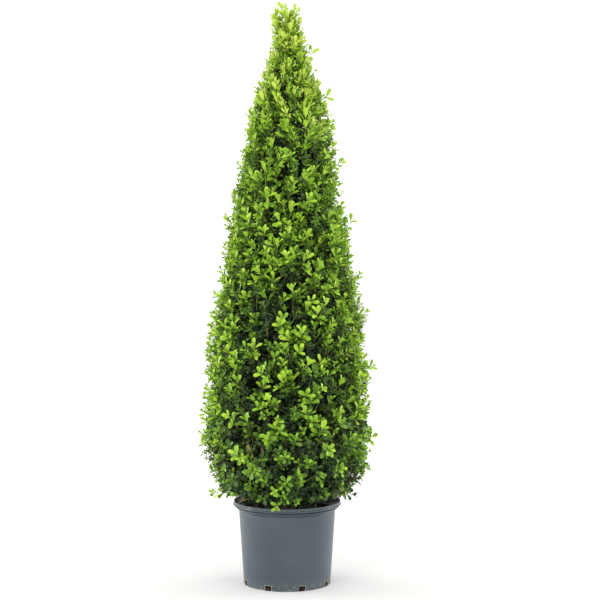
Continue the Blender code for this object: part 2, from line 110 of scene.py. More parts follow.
def lattice_noise(points: Array, cell: float, seed: int) -> Array:
    """Smooth noise between -1 and 1.

    Each corner of a cubic lattice gets a number from the fraction of a large sine, and a point mixes the
    eight corners round it by smoothed shares.

    Args:
        points: Points along the last axis.
        cell: Side of the lattice's cubes.
        seed: Which noise this is.

    Returns:
        One value for each point.
    """
    axis_keys, seed_key, shuffle = np.array((127.1, 311.7, 74.7)), 19.19, 43758.5453
    scaled = points / cell
    corner = np.floor(scaled)
    share = scaled - corner
    share = share * share * (3 - 2 * share)
    total = np.zeros(points.shape[:-1])
    for i in range(8):
        offset = np.array((i & 1, i >> 1 & 1, i >> 2 & 1))
        keys = (corner + offset) @ axis_keys + seed * seed_key
        value = np.modf(np.abs(np.sin(keys)) * shuffle)[0]
        total += np.prod(np.where(offset == 1, share, 1 - share), axis=-1) * value
    return 2 * total - 1


# Surfaces


@dataclass(frozen=True)
class Surface:
    """Mesh as arrays: points, their places on the pattern, the corners of all faces, each face's count."""

    points: Array
    uv: Array
    corners: Array
    counts: Array

    @staticmethod
    def joined(parts: Iterable["Surface"]) -> "Surface":
        """One surface made of several that don't touch.

        Args:
            parts: The surfaces.

        Returns:
            All of them as one.
        """
        parts = list(parts)
        starts = np.cumsum([0] + [len(part.points) for part in parts[:-1]])
        return Surface(
            np.concatenate([part.points for part in parts]),
            np.concatenate([part.uv for part in parts]),
            np.concatenate([part.corners + start for part, start in zip(parts, starts)]),
            np.concatenate([part.counts for part in parts]),
        )

    def mesh(self, name: str) -> bpy.types.Mesh:
        """Smooth-shaded mesh with the pattern's places as its UV map.

        Args:
            name: Name of the mesh.

        Returns:
            The new mesh.
        """
        mesh = bpy.data.meshes.new(name)
        mesh.vertices.add(len(self.points))
        mesh.vertices.foreach_set("co", self.points.astype(np.float32).ravel())
        mesh.loops.add(len(self.corners))
        mesh.loops.foreach_set("vertex_index", self.corners.astype(np.int32))
        mesh.polygons.add(len(self.counts))
        starts = np.cumsum(self.counts) - self.counts
        mesh.polygons.foreach_set("loop_start", starts.astype(np.int32))
        mesh.polygons.foreach_set("use_smooth", np.ones(len(self.counts), dtype=bool))
        mesh.update(calc_edges=True)
        layer = mesh.uv_layers.new(name="UVMap")
        layer.data.foreach_set("uv", self.uv[self.corners].astype(np.float32).ravel())
        return mesh

    def piece(self, name: str, finish: "Finish") -> bpy.types.Object:
        """Puts the surface in the scene.

        Args:
            name: Name of the piece.
            finish: Its finish.

        Returns:
            The new object.
        """
        made = bpy.data.objects.new(name, self.mesh(name))
        made.data.materials.append(finish.material())
        bpy.context.scene.collection.objects.link(made)
        return made

    def add(self, name: str, finish: "Finish", slot: str, *nodes: str) -> None:
        """Adds the surface to the plant and reports it.

        Args:
            name: Name of the piece.
            finish: Its finish.
            slot: Name of a slot for that finish, handed on to place.
            *nodes: The solids that it stands for.
        """
        place(self.piece(name, finish), slot, *nodes)
        log.info("%s: %d triangles", name, np.sum(self.counts - 2))


def place(piece: bpy.types.Object, slot: str, *nodes: str) -> None:
    """Puts a piece on the plant's body.

    Args:
        piece: The piece.
        slot: Not used.
        *nodes: The solids that it stands for.
    """
    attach(piece, BODY)
    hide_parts(*nodes)


def sleeves(points: Array) -> Surface:
    """Closed sleeves through rings of points, flat at both ends.

    Args:
        points: Points, by sleeve, then ring, then place on the ring.

    Returns:
        The surface of them all, with its pattern round and then along each.
    """
    rings, corners = points.shape[1:3]
    number = np.arange(points.size // 3).reshape(points.shape[:3])
    after = np.roll(number, -1, axis=2)
    quads = np.stack((number[:, :-1], after[:, :-1], after[:, 1:], number[:, 1:]), axis=-1)
    caps = np.concatenate((number[:, 0, ::-1], number[:, -1]))
    share = np.broadcast_to(np.linspace(0, 1, rings)[:, None], number.shape)
    turn = np.broadcast_to(np.arange(corners) / corners, number.shape)
    return Surface(
        points.reshape(-1, 3),
        np.stack((turn, share), axis=-1).reshape(-1, 2),
        np.concatenate((quads.ravel(), caps.ravel())),
        np.concatenate((np.full(quads.size // 4, 4), np.full(len(caps), corners))),
    )


def tubes(paths: Array, radii: Array, sides: Array, corners: int) -> Surface:
    """Round limbs along paths.

    Ring point = path point + radius * (cos(a) * side + sin(a) * third), with side made square to the path
    and third square to both.

    Args:
        paths: Points of each path, by limb and then along it.
        radii: Radius at each of them.
        sides: One direction across each limb.
        corners: Points round a ring.

    Returns:
        The surface of all the limbs.
    """
    headings = unit(np.gradient(paths, axis=1))
    across = squared(np.broadcast_to(sides[:, None], paths.shape), headings)
    third = np.cross(headings, across)
    angles = round_turn(corners)[:, None]
    spokes = across[:, :, None] * np.cos(angles) + third[:, :, None] * np.sin(angles)
    return sleeves(paths[:, :, None] + radii[:, :, None, None] * spokes)


def turned(radii: Array, heights: Array, segments: int, under: bool = True) -> Surface:
    """Profile turned about +Z, from a pole under the base, round the outside, to a pole above it.

    Args:
        radii: Radius along the profile, which may also change round the turn as a second axis.
        heights: Height along the profile, likewise.
        segments: Points round the turn.
        under: Whether the base is closed.

    Returns:
        The surface.
    """
    radii = np.broadcast_to(radii if radii.ndim == 2 else radii[:, None], (len(radii), segments))
    heights = heights if heights.ndim == 2 else heights[:, None]
    grid = ringed(radii, round_turn(segments), heights)
    number = np.arange(radii.size).reshape(radii.shape)
    after = np.roll(number, -1, axis=1)
    quads = np.stack((number[:-1], after[:-1], after[1:], number[1:]), axis=-1)
    poles = np.array(((0, 0, grid[0, :, 2].mean()), (0, 0, grid[-1, :, 2].mean())))
    below = np.stack((np.full(segments, radii.size), after[0], number[0]), axis=-1)
    above = np.stack((np.full(segments, radii.size + 1), number[-1], after[-1]), axis=-1)
    fans = np.concatenate((below, above) if under else (above,))
    points = np.concatenate((grid.reshape(-1, 3), poles))
    corners = np.concatenate((quads.ravel(), fans.ravel()))
    return Surface(points, points[:, :2], corners, np.repeat((4, 3), (quads.size // 4, len(fans))))


# Shader graphs


def operator(kind: str, swapped: bool = False) -> Callable[..., "Value"]:
    """Makes a method of a value that adds a Math node.

    Args:
        kind: Operation of the node.
        swapped: Whether the value is the last of the terms.

    Returns:
        The method.
    """

    def method(value: "Value", *others: "Value | float") -> "Value":
        """Result of the operation on the value."""
        terms = (value, *others)
        return value.graph.math(kind, *(terms[::-1] if swapped else terms))

    return method


class Value:
    """Number that changes over a surface: a socket that takes part in arithmetic."""

    __add__ = __radd__ = operator("ADD")
    __sub__ = operator("SUBTRACT")
    __rsub__ = operator("SUBTRACT", swapped=True)
    __mul__ = __rmul__ = operator("MULTIPLY")
    __mod__ = operator("FLOORED_MODULO")
    __pow__ = operator("POWER")
    __abs__ = operator("ABSOLUTE")

    def __init__(self, graph: "Graph", socket: Socket) -> None:
        """Keeps the socket and the graph that it lies in."""
        self.graph = graph
        self.socket = socket

    def step(self, low: float, high: float) -> "Value":
        """Smooth step.

        Args:
            low: Value where the step is 0.
            high: Value where it is 1, which may be the smaller.

        Returns:
            The step, from 0 to 1.
        """
        ends = {"Value": self, "From Min": low, "From Max": high}
        node = self.graph.node("ShaderNodeMapRange", {"interpolation_type": "SMOOTHSTEP"}, ends)
        return Value(self.graph, node.outputs[0])


class Graph:
    """Node tree of one material round its Principled shader."""

    def __init__(self, name: str, **fixed: float) -> None:
        """Makes the material.

        Args:
            name: Name of the material.
            **fixed: Values that are the same all over the surface, by input with _ for a space.
        """
        self.material = bpy.data.materials.new(name)
        self.material.use_nodes = True
        self.tree = self.material.node_tree
        self.shader = self.tree.nodes["Principled BSDF"]
        for key, value in fixed.items():
            self.shader.inputs[key.replace("_", " ")].default_value = value
        coordinates = self.node("ShaderNodeTexCoord")
        self.place = coordinates.outputs["Object"]
        self.pattern = coordinates.outputs["UV"]

    def node(self, kind: str, settings: dict | None = None, inputs: dict | None = None) -> bpy.types.Node:
        """Adds a node.

        Args:
            kind: Type of the node.
            settings: Properties of the node, set first.
            inputs: Numbers, colours, sockets or values for its inputs, by name or number.

        Returns:
            The new node.
        """
        node = self.tree.nodes.new(kind)
        for key, setting in (settings or {}).items():
            setattr(node, key, setting)
        for key, given in (inputs or {}).items():
            given = given.socket if isinstance(given, Value) else given
            if isinstance(given, Socket):
                self.tree.links.new(given, node.inputs[key])
            else:
                node.inputs[key].default_value = given
        return node

    def math(self, operation: str, *terms: Value | float) -> Value:
        """Result of a Math node on the terms."""
        node = self.node("ShaderNodeMath", {"operation": operation}, dict(enumerate(terms)))
        return Value(self, node.outputs[0])

    def axes(self, vector: Socket) -> tuple[Value, ...]:
        """The three parts of a vector."""
        node = self.node("ShaderNodeSeparateXYZ", inputs={0: vector})
        return tuple(Value(self, part) for part in node.outputs)

    def noise(self, scale: float, detail: float = 2.0, stretch: Place = (1, 1, 1)) -> Value:
        """Noise between 0 and 1 on the piece's own coordinates.

        Args:
            scale: Lumps to the metre.
            detail: Finer layers of lumps.
            stretch: Scale along each axis.

        Returns:
            The noise.
        """
        at = self.node("ShaderNodeMapping", inputs={"Vector": self.place, "Scale": stretch})
        inputs = {"Vector": at.outputs[0], "Scale": scale, "Detail": detail}
        return Value(self, self.node("ShaderNodeTexNoise", inputs=inputs).outputs[0])

    def mix(self, factor: Value, one: Colour | Socket, other: Colour | Socket) -> Socket:
        """Mix of two colours.

        Args:
            factor: 0 where the first colour shows, and 1 where the second does.
            one: The first colour.
            other: The second colour.

        Returns:
            The mixed colour.
        """
        ends = [(*end, 1) if isinstance(end, tuple) else end for end in (one, other)]
        inputs = {0: factor, 6: ends[0], 7: ends[1]}
        return self.node("ShaderNodeMix", {"data_type": "RGBA"}, inputs).outputs[2]

    def feed(self, socket: str, given: Value | Socket) -> None:
        """Links a value or a colour to an input of the shader."""
        given = given.socket if isinstance(given, Value) else given
        self.tree.links.new(given, self.shader.inputs[socket])

    def relief(self, height: Value, depth: float) -> None:
        """Bumps the surface by a height from 0 to 1 that stands for this depth in metres."""
        bump = self.node("ShaderNodeBump", inputs={"Strength": 1.0, "Distance": depth, "Height": height})
        self.feed("Normal", bump.outputs[0])


# Finishes


@dataclass(frozen=True)
class Finish:
    """Base of the finishes: a named material that is made once."""

    name: str

    def material(self) -> bpy.types.Material:
        """The finish's material, made at its first use."""
        return bpy.data.materials.get(self.name) or self.made()

    def made(self) -> bpy.types.Material:
        """New material of this finish."""
        raise NotImplementedError


@dataclass(frozen=True)
class LeafFinish(Finish):
    """Waxy box leaf of one age: a cloudy blade, a pale midrib that fades to the tip, and a pale edge."""

    blade: Colour
    patch: Colour
    rib: Colour
    roughness: float = 0.38

    def made(self) -> bpy.types.Material:
        """Makes the material of this leaf.

        Returns:
            The new material.
        """
        graph = Graph(self.name, Specular_IOR_Level=0.30)
        across, along, _ = graph.axes(graph.pattern)
        off = abs(across - 0.5)
        rib = off.step(0.10, 0.01) * along.step(1.0, 0.55)
        cloud = graph.noise(140.0).step(0.34, 0.66)
        blade = graph.mix(cloud, self.blade, self.patch)
        graph.feed("Base Color", graph.mix(rib * 0.75 + off.step(0.39, 0.47) * 0.6, blade, self.rib))
        graph.feed("Roughness", graph.noise(420.0) * 0.16 + self.roughness)
        veins = graph.math("SINE", (along * 2.0 - off * 2.4) * 34.0)
        graph.relief(veins * 0.12 + rib, 0.0003)
        return graph.material


@dataclass(frozen=True)
class WoodFinish(Finish):
    """Bark or rind: two tones in streaks along the limbs, with fine fissures."""

    light: Colour
    dark: Colour
    roughness: float
    fissures: float

    def made(self) -> bpy.types.Material:
        """Makes the material of this bark.

        Returns:
            The new material.
        """
        graph = Graph(self.name, Specular_IOR_Level=0.3)
        streak = graph.noise(260.0, 4.0, (1, 1, 0.22))
        speckle = graph.noise(900.0, 2.0)
        tone = graph.mix(streak.step(0.36, 0.62), self.dark, self.light)
        graph.feed("Base Color", graph.mix(speckle.step(0.60, 0.72) * 0.5, tone, self.dark))
        graph.feed("Roughness", streak * 0.2 + (self.roughness - 0.1))
        graph.relief(streak * 0.7 + speckle * 0.3, self.fissures)
        return graph.material


@dataclass(frozen=True)
class CompostFinish(Finish):
    """Moist potting compost: near black crumbs with brown fibres and paler flecks."""

    dark: Colour = (0.010, 0.007, 0.005)
    fibre: Colour = (0.060, 0.038, 0.022)
    fleck: Colour = (0.13, 0.09, 0.055)

    def made(self) -> bpy.types.Material:
        """Makes the material of the compost.

        Returns:
            The new material.
        """
        graph = Graph(self.name, Roughness=0.95, Specular_IOR_Level=0.2)
        crumbs = graph.noise(260.0, 6.0)
        flecks = graph.noise(700.0, 2.0)
        soil = graph.mix(crumbs.step(0.45, 0.70), self.dark, self.fibre)
        graph.feed("Base Color", graph.mix(flecks.step(0.66, 0.74) * 0.6, soil, self.fleck))
        graph.relief(crumbs, 0.003)
        return graph.material


@dataclass(frozen=True)
class Notches:
    """Drainage notches at even steps round the pot's foot."""

    count: int = 8
    first: float = math.radians(-70)
    width: float = 0.0184
    height: float = 0.0136
    depth: float = 0.014
    rounding: float = 0.0022

    def angles(self) -> Array:
        """Angle of each from +X."""
        return self.first + round_turn(self.count)


NOTCHES = Notches()


@dataclass(frozen=True)
class MouldedPlastic(Finish):
    """Slate plastic of the pot: faint clouds and scuffs, and dust low down and round the notches."""

    slate: Colour = (0.0395, 0.057, 0.070)
    worn: Colour = (0.051, 0.070, 0.082)
    dust: Colour = (0.40, 0.38, 0.32)
    roughness: float = 0.31
    foot_radius: float = 0.115
    smudge_place: Place = (-0.098, -0.099, 0.214)
    smudge_radius: float = 0.018

    def smudge(self, graph: Graph) -> Value:
        """Flecks of a dry soil stain on the lip, from the distance to its middle.

        Args:
            graph: Graph of the material.

        Returns:
            1 in the flecks, and 0 elsewhere.
        """
        sides = [axis - middle for axis, middle in zip(graph.axes(graph.place), self.smudge_place)]
        distance = sum((side * side for side in sides[1:]), sides[0] * sides[0]) ** 0.5
        flecks = graph.noise(300.0, 4.0).step(0.50, 0.64)
        return distance.step(self.smudge_radius, 0.25 * self.smudge_radius) * flecks

    def notch_edge(self, graph: Graph) -> Value:
        """Dust on the rims of the notches, from the distance to a box that is repeated round the turn.

        Args:
            graph: Graph of the material.

        Returns:
            1 in the dust, and 0 elsewhere.
        """
        x, y, z = graph.axes(graph.place)
        turn = math.tau / NOTCHES.count
        angle = (graph.math("ARCTAN2", y, x) - (NOTCHES.first - turn / 2)) % turn
        aside = abs(angle - turn / 2) * self.foot_radius - NOTCHES.width / 2
        outside = graph.math("MAXIMUM", aside, z - NOTCHES.height)
        return outside.step(0.0024, 0.0003) * graph.noise(420.0, 3.0).step(0.36, 0.56)

    def made(self) -> bpy.types.Material:
        """Makes the material of the pot.

        Returns:
            The new material.
        """
        graph = Graph(self.name, Specular_IOR_Level=0.45)
        _, _, z = graph.axes(graph.place)
        cloud = graph.noise(9.0, 3.0)
        scuffs = graph.noise(30.0, 4.0, (1.0, 1.0, 6.0)).step(0.56, 0.80)
        slate = graph.mix(cloud.step(0.30, 0.72), self.slate, self.worn)
        scuffed = graph.mix(scuffs * 0.03, slate, self.dust)
        specks = graph.noise(480.0, 2.0).step(0.61, 0.68) * z.step(0.042, 0.0)
        film = graph.noise(70.0, 4.0).step(0.44, 0.70) * z.step(0.022, 0.0)
        dusted = graph.mix(film * 0.34 + specks * 0.75, scuffed, self.dust)
        stained = graph.mix(self.smudge(graph) * 0.38, dusted, self.dust)
        graph.feed("Base Color", graph.mix(self.notch_edge(graph) * 0.8, stained, self.dust))
        graph.feed("Roughness", cloud * 0.10 + scuffs * 0.12 + film * 0.2 + self.roughness)
        graph.relief(graph.noise(900.0, 2.0) * 0.6 + graph.noise(60.0, 2.0), 0.00016)
        return graph.material


@dataclass(frozen=True)
class FloorFinish(Finish):
    """Matt white studio floor, faintly uneven, with a painted shadow that greys it round the plant."""

    white: Colour = (0.770, 0.766, 0.756)
    off_white: Colour = (0.762, 0.758, 0.748)
    # Grey of the painted shadow round the plant, full within the first radius below and gone by the second.
    shadow_grey: Colour = (0.712, 0.708, 0.696)
    full_shadow_radius: float = 0.30
    shadow_fade_radius: float = 1.30

    def made(self) -> bpy.types.Material:
        """Makes the material of the floor.

        Returns:
            The new material.
        """
        graph = Graph(self.name, Specular_IOR_Level=0.1)
        x, y, _ = graph.axes(graph.place)
        cloud = graph.noise(1.5, 3.0)
        # Painted shadow: 1 near the plant, fading to 0 farther out.
        near = ((x * x + y * y) ** 0.5).step(self.shadow_fade_radius, self.full_shadow_radius)
        unshaded = graph.mix(cloud, self.white, self.off_white)
        graph.feed("Base Color", graph.mix(near, unshaded, self.shadow_grey))
        graph.feed("Roughness", cloud * 0.1 + 0.8)
        return graph.material


class LeafAge(Enum):
    """Ages of leaf, from the newest, and their finishes, darker with age; the darker ones also serve as
    painted shade deep in the crown, and the palest as painted light on the spire.
    """

    PALE = LeafFinish("leaf_pale", (0.525, 0.665, 0.090), (0.450, 0.61, 0.070), (0.62, 0.72, 0.16))
    LIME = LeafFinish("leaf_lime", (0.37, 0.585, 0.036), (0.308, 0.515, 0.029), (0.52, 0.685, 0.10))
    FRESH = LeafFinish("leaf_fresh", (0.235, 0.44, 0.023), (0.184, 0.365, 0.018), (0.36, 0.55, 0.07))
    GROWN = LeafFinish("leaf_grown", (0.128, 0.262, 0.018), (0.100, 0.213, 0.015), (0.212, 0.332, 0.044))
    DEEP = LeafFinish("leaf_deep", (0.052, 0.114, 0.023), (0.041, 0.092, 0.019), (0.10, 0.17, 0.038))
    OLD = LeafFinish("leaf_old", (0.019, 0.041, 0.013), (0.014, 0.032, 0.010), (0.036, 0.06, 0.018))


AGES = tuple(LeafAge)
OLDEST = len(AGES) - 1
BARK = WoodFinish("stem_bark", (0.30, 0.235, 0.15), (0.10, 0.07, 0.042), 0.85, 0.0010)
TWIG_BARK = WoodFinish("twig_bark", (0.24, 0.19, 0.11), (0.09, 0.075, 0.040), 0.8, 0.0003)
GREEN_RIND = WoodFinish("green_rind", (0.26, 0.34, 0.075), (0.15, 0.21, 0.045), 0.6, 0.0002)
STRAW = WoodFinish("straw", (0.50, 0.38, 0.17), (0.30, 0.21, 0.09), 0.75, 0.0002)
WOOD_FINISHES = {"limbs": TWIG_BARK, "twigs": TWIG_BARK, "shoots": GREEN_RIND}


# Crown


@dataclass(frozen=True)
class Crown:
    """Clipped outline of the crown, and the line of its stem.

    The radius is a smooth curve through the outline's heights and radii. The stem sways sideways, bows back
    and leans to +X towards the top. Each hollow has a height, a bearing, a depth and a size.
    """

    heights: tuple[float, ...] = (0.224, 0.300, 0.380, 0.520, 0.720, 0.960, 1.200, 1.360, 1.520)
    radii: tuple[float, ...] = (0.150, 0.194, 0.216, 0.214, 0.192, 0.151, 0.107, 0.056, 0.008)
    stem_foot: float = 0.1973
    stem_tip: float = 1.050
    leader_tip: float = 1.492
    stem_radii: tuple[float, ...] = (0.0150, 0.0062, 0.0022)
    flare: float = 0.008
    flare_length: float = 0.014
    sway: float = -0.0012
    bow: float = 0.0027
    lean: float = 0.005
    waves: int = 9
    wave_height: float = 0.0020
    wave_seed: int = 5
    side_swell: float = 0.006
    hollows: tuple[tuple[float, float, float, float], ...] = (
        (0.334, 178, 0.028, 0.026), (0.400, 181, 0.010, 0.028), (0.785, 180, 0.016, 0.042),
        (1.155, 180, 0.010, 0.036), (1.062, -4, 0.017, 0.034), (0.400, -118, 0.034, 0.045),
        (0.500, -50, 0.024, 0.030), (0.690, -58, 0.022, 0.030), (0.694, -125, 0.022, 0.032),
        (1.070, -117, 0.018, 0.026), (1.135, -49, 0.016, 0.024),
    )

    def radius(self, height: Array) -> Array:
        """Clipped outline: cubic curves between its points, whose slopes are central.

        Args:
            height: Heights.

        Returns:
            Radii at those heights.
        """
        z, r = np.array(self.heights), np.array(self.radii)
        slope = np.gradient(r, z)
        height = np.clip(height, z[0], z[-1])
        i = np.minimum(np.searchsorted(z, height, side="right") - 1, len(z) - 2)
        span = z[i + 1] - z[i]
        t = (height - z[i]) / span
        start = (1 + 2 * t) * (1 - t) ** 2 * r[i] + t * (1 - t) ** 2 * span * slope[i]
        return start + t * t * (3 - 2 * t) * r[i + 1] + t * t * (t - 1) * span * slope[i + 1]

    def axis(self, height: Array) -> Array:
        """Line of the stem.

        x = sway * sin(2 pi s) + lean * s^3 and y = bow * sin(pi s), where s runs from 0 at the foot to 1 at
        the leader's tip.

        Args:
            height: Heights.

        Returns:
            Points at those heights.
        """
        share = (height - self.stem_foot) / (self.leader_tip - self.stem_foot)
        x = self.sway * np.sin(2 * np.pi * share) + self.lean * share**3
        return np.stack((x, self.bow * np.sin(np.pi * share), height), axis=-1)

    def stem_radius(self, height: Array) -> Array:
        """Radius of the stem and of the leader above it, with a flare that dies away above the foot."""
        taper = np.interp(height, (self.stem_foot, self.stem_tip, self.leader_tip), self.stem_radii)
        return taper + self.flare * np.exp(-(height - self.stem_foot) / self.flare_length)

    def around(self, angle: Array, radius: Array, height: Array) -> Array:
        """Points at angles and radii from the stem's line."""
        return self.axis(height) + level(angle) * radius[..., None]

    def sunk(self, points: Array) -> Array:
        """How far points lie inside the smooth outline."""
        return self.radius(points[:, 2]) - np.hypot(*(points - self.axis(points[:, 2]))[:, :2].T)

    def lumps(self, angle: Array, height: Array) -> Array:
        """How far the crown bulges or sinks.

        It is a sum of seeded waves that run round and up it, plus the swell of its two sides, less
        depth * exp(-(distance / size)^2) for each hollow.

        Args:
            angle: Angles from +X.
            height: Heights.

        Returns:
            Offsets of the skin, outwards.
        """
        rng = np.random.default_rng(self.wave_seed)
        turns = rng.integers(2, 9, self.waves)
        rates = rng.uniform(12.0, 48.0, self.waves)
        phases = rng.uniform(0.0, math.tau, self.waves)
        total = self.side_swell * sideness(angle)
        for turn, rate, phase in zip(turns, rates, phases):
            total += self.wave_height * np.cos(turn * angle + rate * height + phase)
        for middle, bearing, depth, size in self.hollows:
            off = (angle - math.radians(bearing) + math.pi) % math.tau - math.pi
            total -= depth * np.exp(-((off * self.radius(height)) ** 2 + (height - middle) ** 2) / size**2)
        return total


CROWN = Crown()


@dataclass(frozen=True)
class Ageing:
    """Ages of the shoots over the crown, in steps from pale to old, which also paint light and shade on it.

    front is their mean at the front by height: older and darker towards the foot and younger and paler
    towards the top, partly real age and partly painted shade low down and painted light high up. sides is
    how much younger and paler they are at the two sides, a painted light on them. Above each height in
    pale_above the newest may be one step paler, partly painted light on the spire.
    """

    heights: tuple[float, ...] = (
        0.224, 0.300, 0.380, 0.470, 0.600, 0.720, 0.850, 1.000, 1.180, 1.300, 1.400,
    )
    front: tuple[float, ...] = (3.90, 3.40, 3.35, 2.40, 1.95, 1.70, 0.20, 0.20, 0.40, -0.35, -2.20)
    sides: tuple[float, ...] = (0.0, 0.9, 1.9, 2.4, 2.4, 2.2, 2.0, 1.8, 1.0, 0.6, 0.4)
    scatter: float = 0.80
    pale_above: tuple[float, float] = (1.21, 1.385)

    def ages(self, angle: Array, height: Array, older: int, rng: np.random.Generator) -> Array:
        """Ages of shoots: the front's mean, less the sides' share, plus a random scatter.

        Args:
            angle: Angles from +X.
            height: Heights of their tips.
            older: Steps that are added.
            rng: Source of the scatter.

        Returns:
            Whole steps, none under 1 below the spire's pale part.
        """
        pale = np.searchsorted(self.pale_above, height)
        # Painted light: the two sides are made younger, so paler.
        painted_side_light = np.interp(height, self.heights, self.sides) * sideness(angle)
        mean = np.interp(height, self.heights, self.front) - painted_side_light
        steps = np.rint(mean + rng.normal(0, self.scatter, len(height))).astype(int)
        return np.clip(np.maximum(steps, -pale) + older, np.maximum(1 - pale, 0), OLDEST)


AGEING = Ageing()


@dataclass(frozen=True)
class Keep:
    """Room for leaves and twigs: clear of the pot and its compost, and inside the model's box."""

    over_lip: float = 0.236
    beside_lip: float = 0.240
    mouth: float = 0.124
    lip: float = 0.1435
    soil: float = 0.200
    low: Place = (-0.238, -0.236, 0.0)
    high: Place = (0.245, 0.240, 1.526)

    def holds(self, points: Array) -> Array:
        """Tells which points have room.

        Args:
            points: Points along the last axis.

        Returns:
            True where a point has room.
        """
        radius = np.hypot(points[..., 0], points[..., 1])
        outer = np.where(radius < self.lip, self.over_lip, self.beside_lip)
        least = np.where(radius < self.mouth, self.soil, outer)
        inside = np.all((points > np.array(self.low)) & (points < np.array(self.high)), axis=-1)
        return (points[..., 2] > least) & inside

    def leaves(self, roots: Array, along: Array, sizes: Array) -> Array:
        """True where a leaf's root, middle and tip have room."""
        reach = along * sizes[..., None]
        return self.holds(roots) & self.holds(roots + 0.5 * reach) & self.holds(roots + reach)


CROWN_ROOM = Keep()
SPRIG_ROOM = Keep(over_lip=0.2225, beside_lip=0.190)


# Twigs and leaves


@dataclass(frozen=True)
class Twigs:
    """Curved twigs as arrays: each runs from its start to its tip, leaving and arriving in given ways.

    vigours are the sizes of their leaves beside the habit's.
    """

    starts: Array
    leaving: Array
    tips: Array
    arriving: Array
    sides: Array
    girths: Array
    ages: Array
    vigours: Array

    def __len__(self) -> int:
        """Number of twigs."""
        return len(self.starts)

    def kept(self, mask: Array) -> "Twigs":
        """The twigs where the mask is true."""
        return Twigs(*(getattr(self, name)[mask] for name in self.__dataclass_fields__))

    @staticmethod
    def joined(parts: Iterable["Twigs"]) -> "Twigs":
        """Several sets of twigs as one.

        Args:
            parts: The sets.

        Returns:
            All the twigs.
        """
        parts = list(parts)
        names = Twigs.__dataclass_fields__
        return Twigs(*(np.concatenate([getattr(part, name) for part in parts]) for name in names))

    def lengths(self) -> Array:
        """Distances from start to tip."""
        return np.linalg.norm(self.tips - self.starts, axis=-1)

    def points(self, shares: Array) -> Array:
        """Points on each twig: a cubic curve whose end tangents are as long as the twig.

        Args:
            shares: Shares of the way along, the same for all twigs or a row for each.

        Returns:
            Points, by twig and then by share.
        """
        t = np.broadcast_to(shares, (len(self), shares.shape[-1]))[..., None]
        reach = self.lengths()[:, None, None]
        leaving = t * (1 - t) ** 2 * reach * self.leaving[:, None]
        arriving = t * t * (t - 1) * reach * self.arriving[:, None]
        start = (1 + 2 * t) * (1 - t) ** 2 * self.starts[:, None] + leaving
        return start + (t * t * (3 - 2 * t) * self.tips[:, None] + arriving)

    def headings(self, shares: Array) -> Array:
        """Directions of growth at those shares, by a small difference of points."""
        small = 0.01
        return unit(self.points(np.minimum(shares + small, 1)) - self.points(np.maximum(shares - small, 0)))

    def wood(self, rings: int, corners: int, taper: float = 0.6) -> Surface:
        """Surface of the twigs.

        Args:
            rings: Rings along each.
            corners: Points round a ring.
            taper: Share of its girth that a twig has at its tip.

        Returns:
            The surface of them all.
        """
        shares = np.linspace(0, 1, rings)
        radii = self.girths[:, None] * (1 + (taper - 1) * shares)
        return tubes(self.points(shares), radii, self.sides, corners)

    def forks(
        self, shares: Array, angle: float, lengths: Array, spread: float, rng: np.random.Generator
    ) -> "Twigs":
        """An opposite pair of twigs on each twig.

        Args:
            shares: How far along each twig they stand.
            angle: How far they turn off it.
            lengths: Length of each pair.
            spread: How far each may turn at random.
            rng: Source of the random turns.

        Returns:
            The new twigs, all the first of the pairs and then all the second.
        """
        start = self.points(shares[:, None])[:, 0]
        heading = self.headings(shares[:, None])[:, 0]
        side = squared(self.sides, heading)
        third = np.cross(heading, side)
        pairs = []
        for way in (1, -1):
            off = unit(heading * math.cos(angle) + third * way * math.sin(angle))
            off = unit(off + rng.normal(0, spread, start.shape))
            arriving = unit(off * 0.6 + heading * 0.6 + rng.normal(0, spread * 0.5, start.shape))
            tips = start + unit(off + arriving) * (lengths * rng.uniform(0.8, 1.2, len(start)))[:, None]
            sides, girths = squared(side, arriving), self.girths * 0.72
            pairs.append(Twigs(start, off, tips, arriving, sides, girths, self.ages, self.vigours))
        return Twigs.joined(pairs)


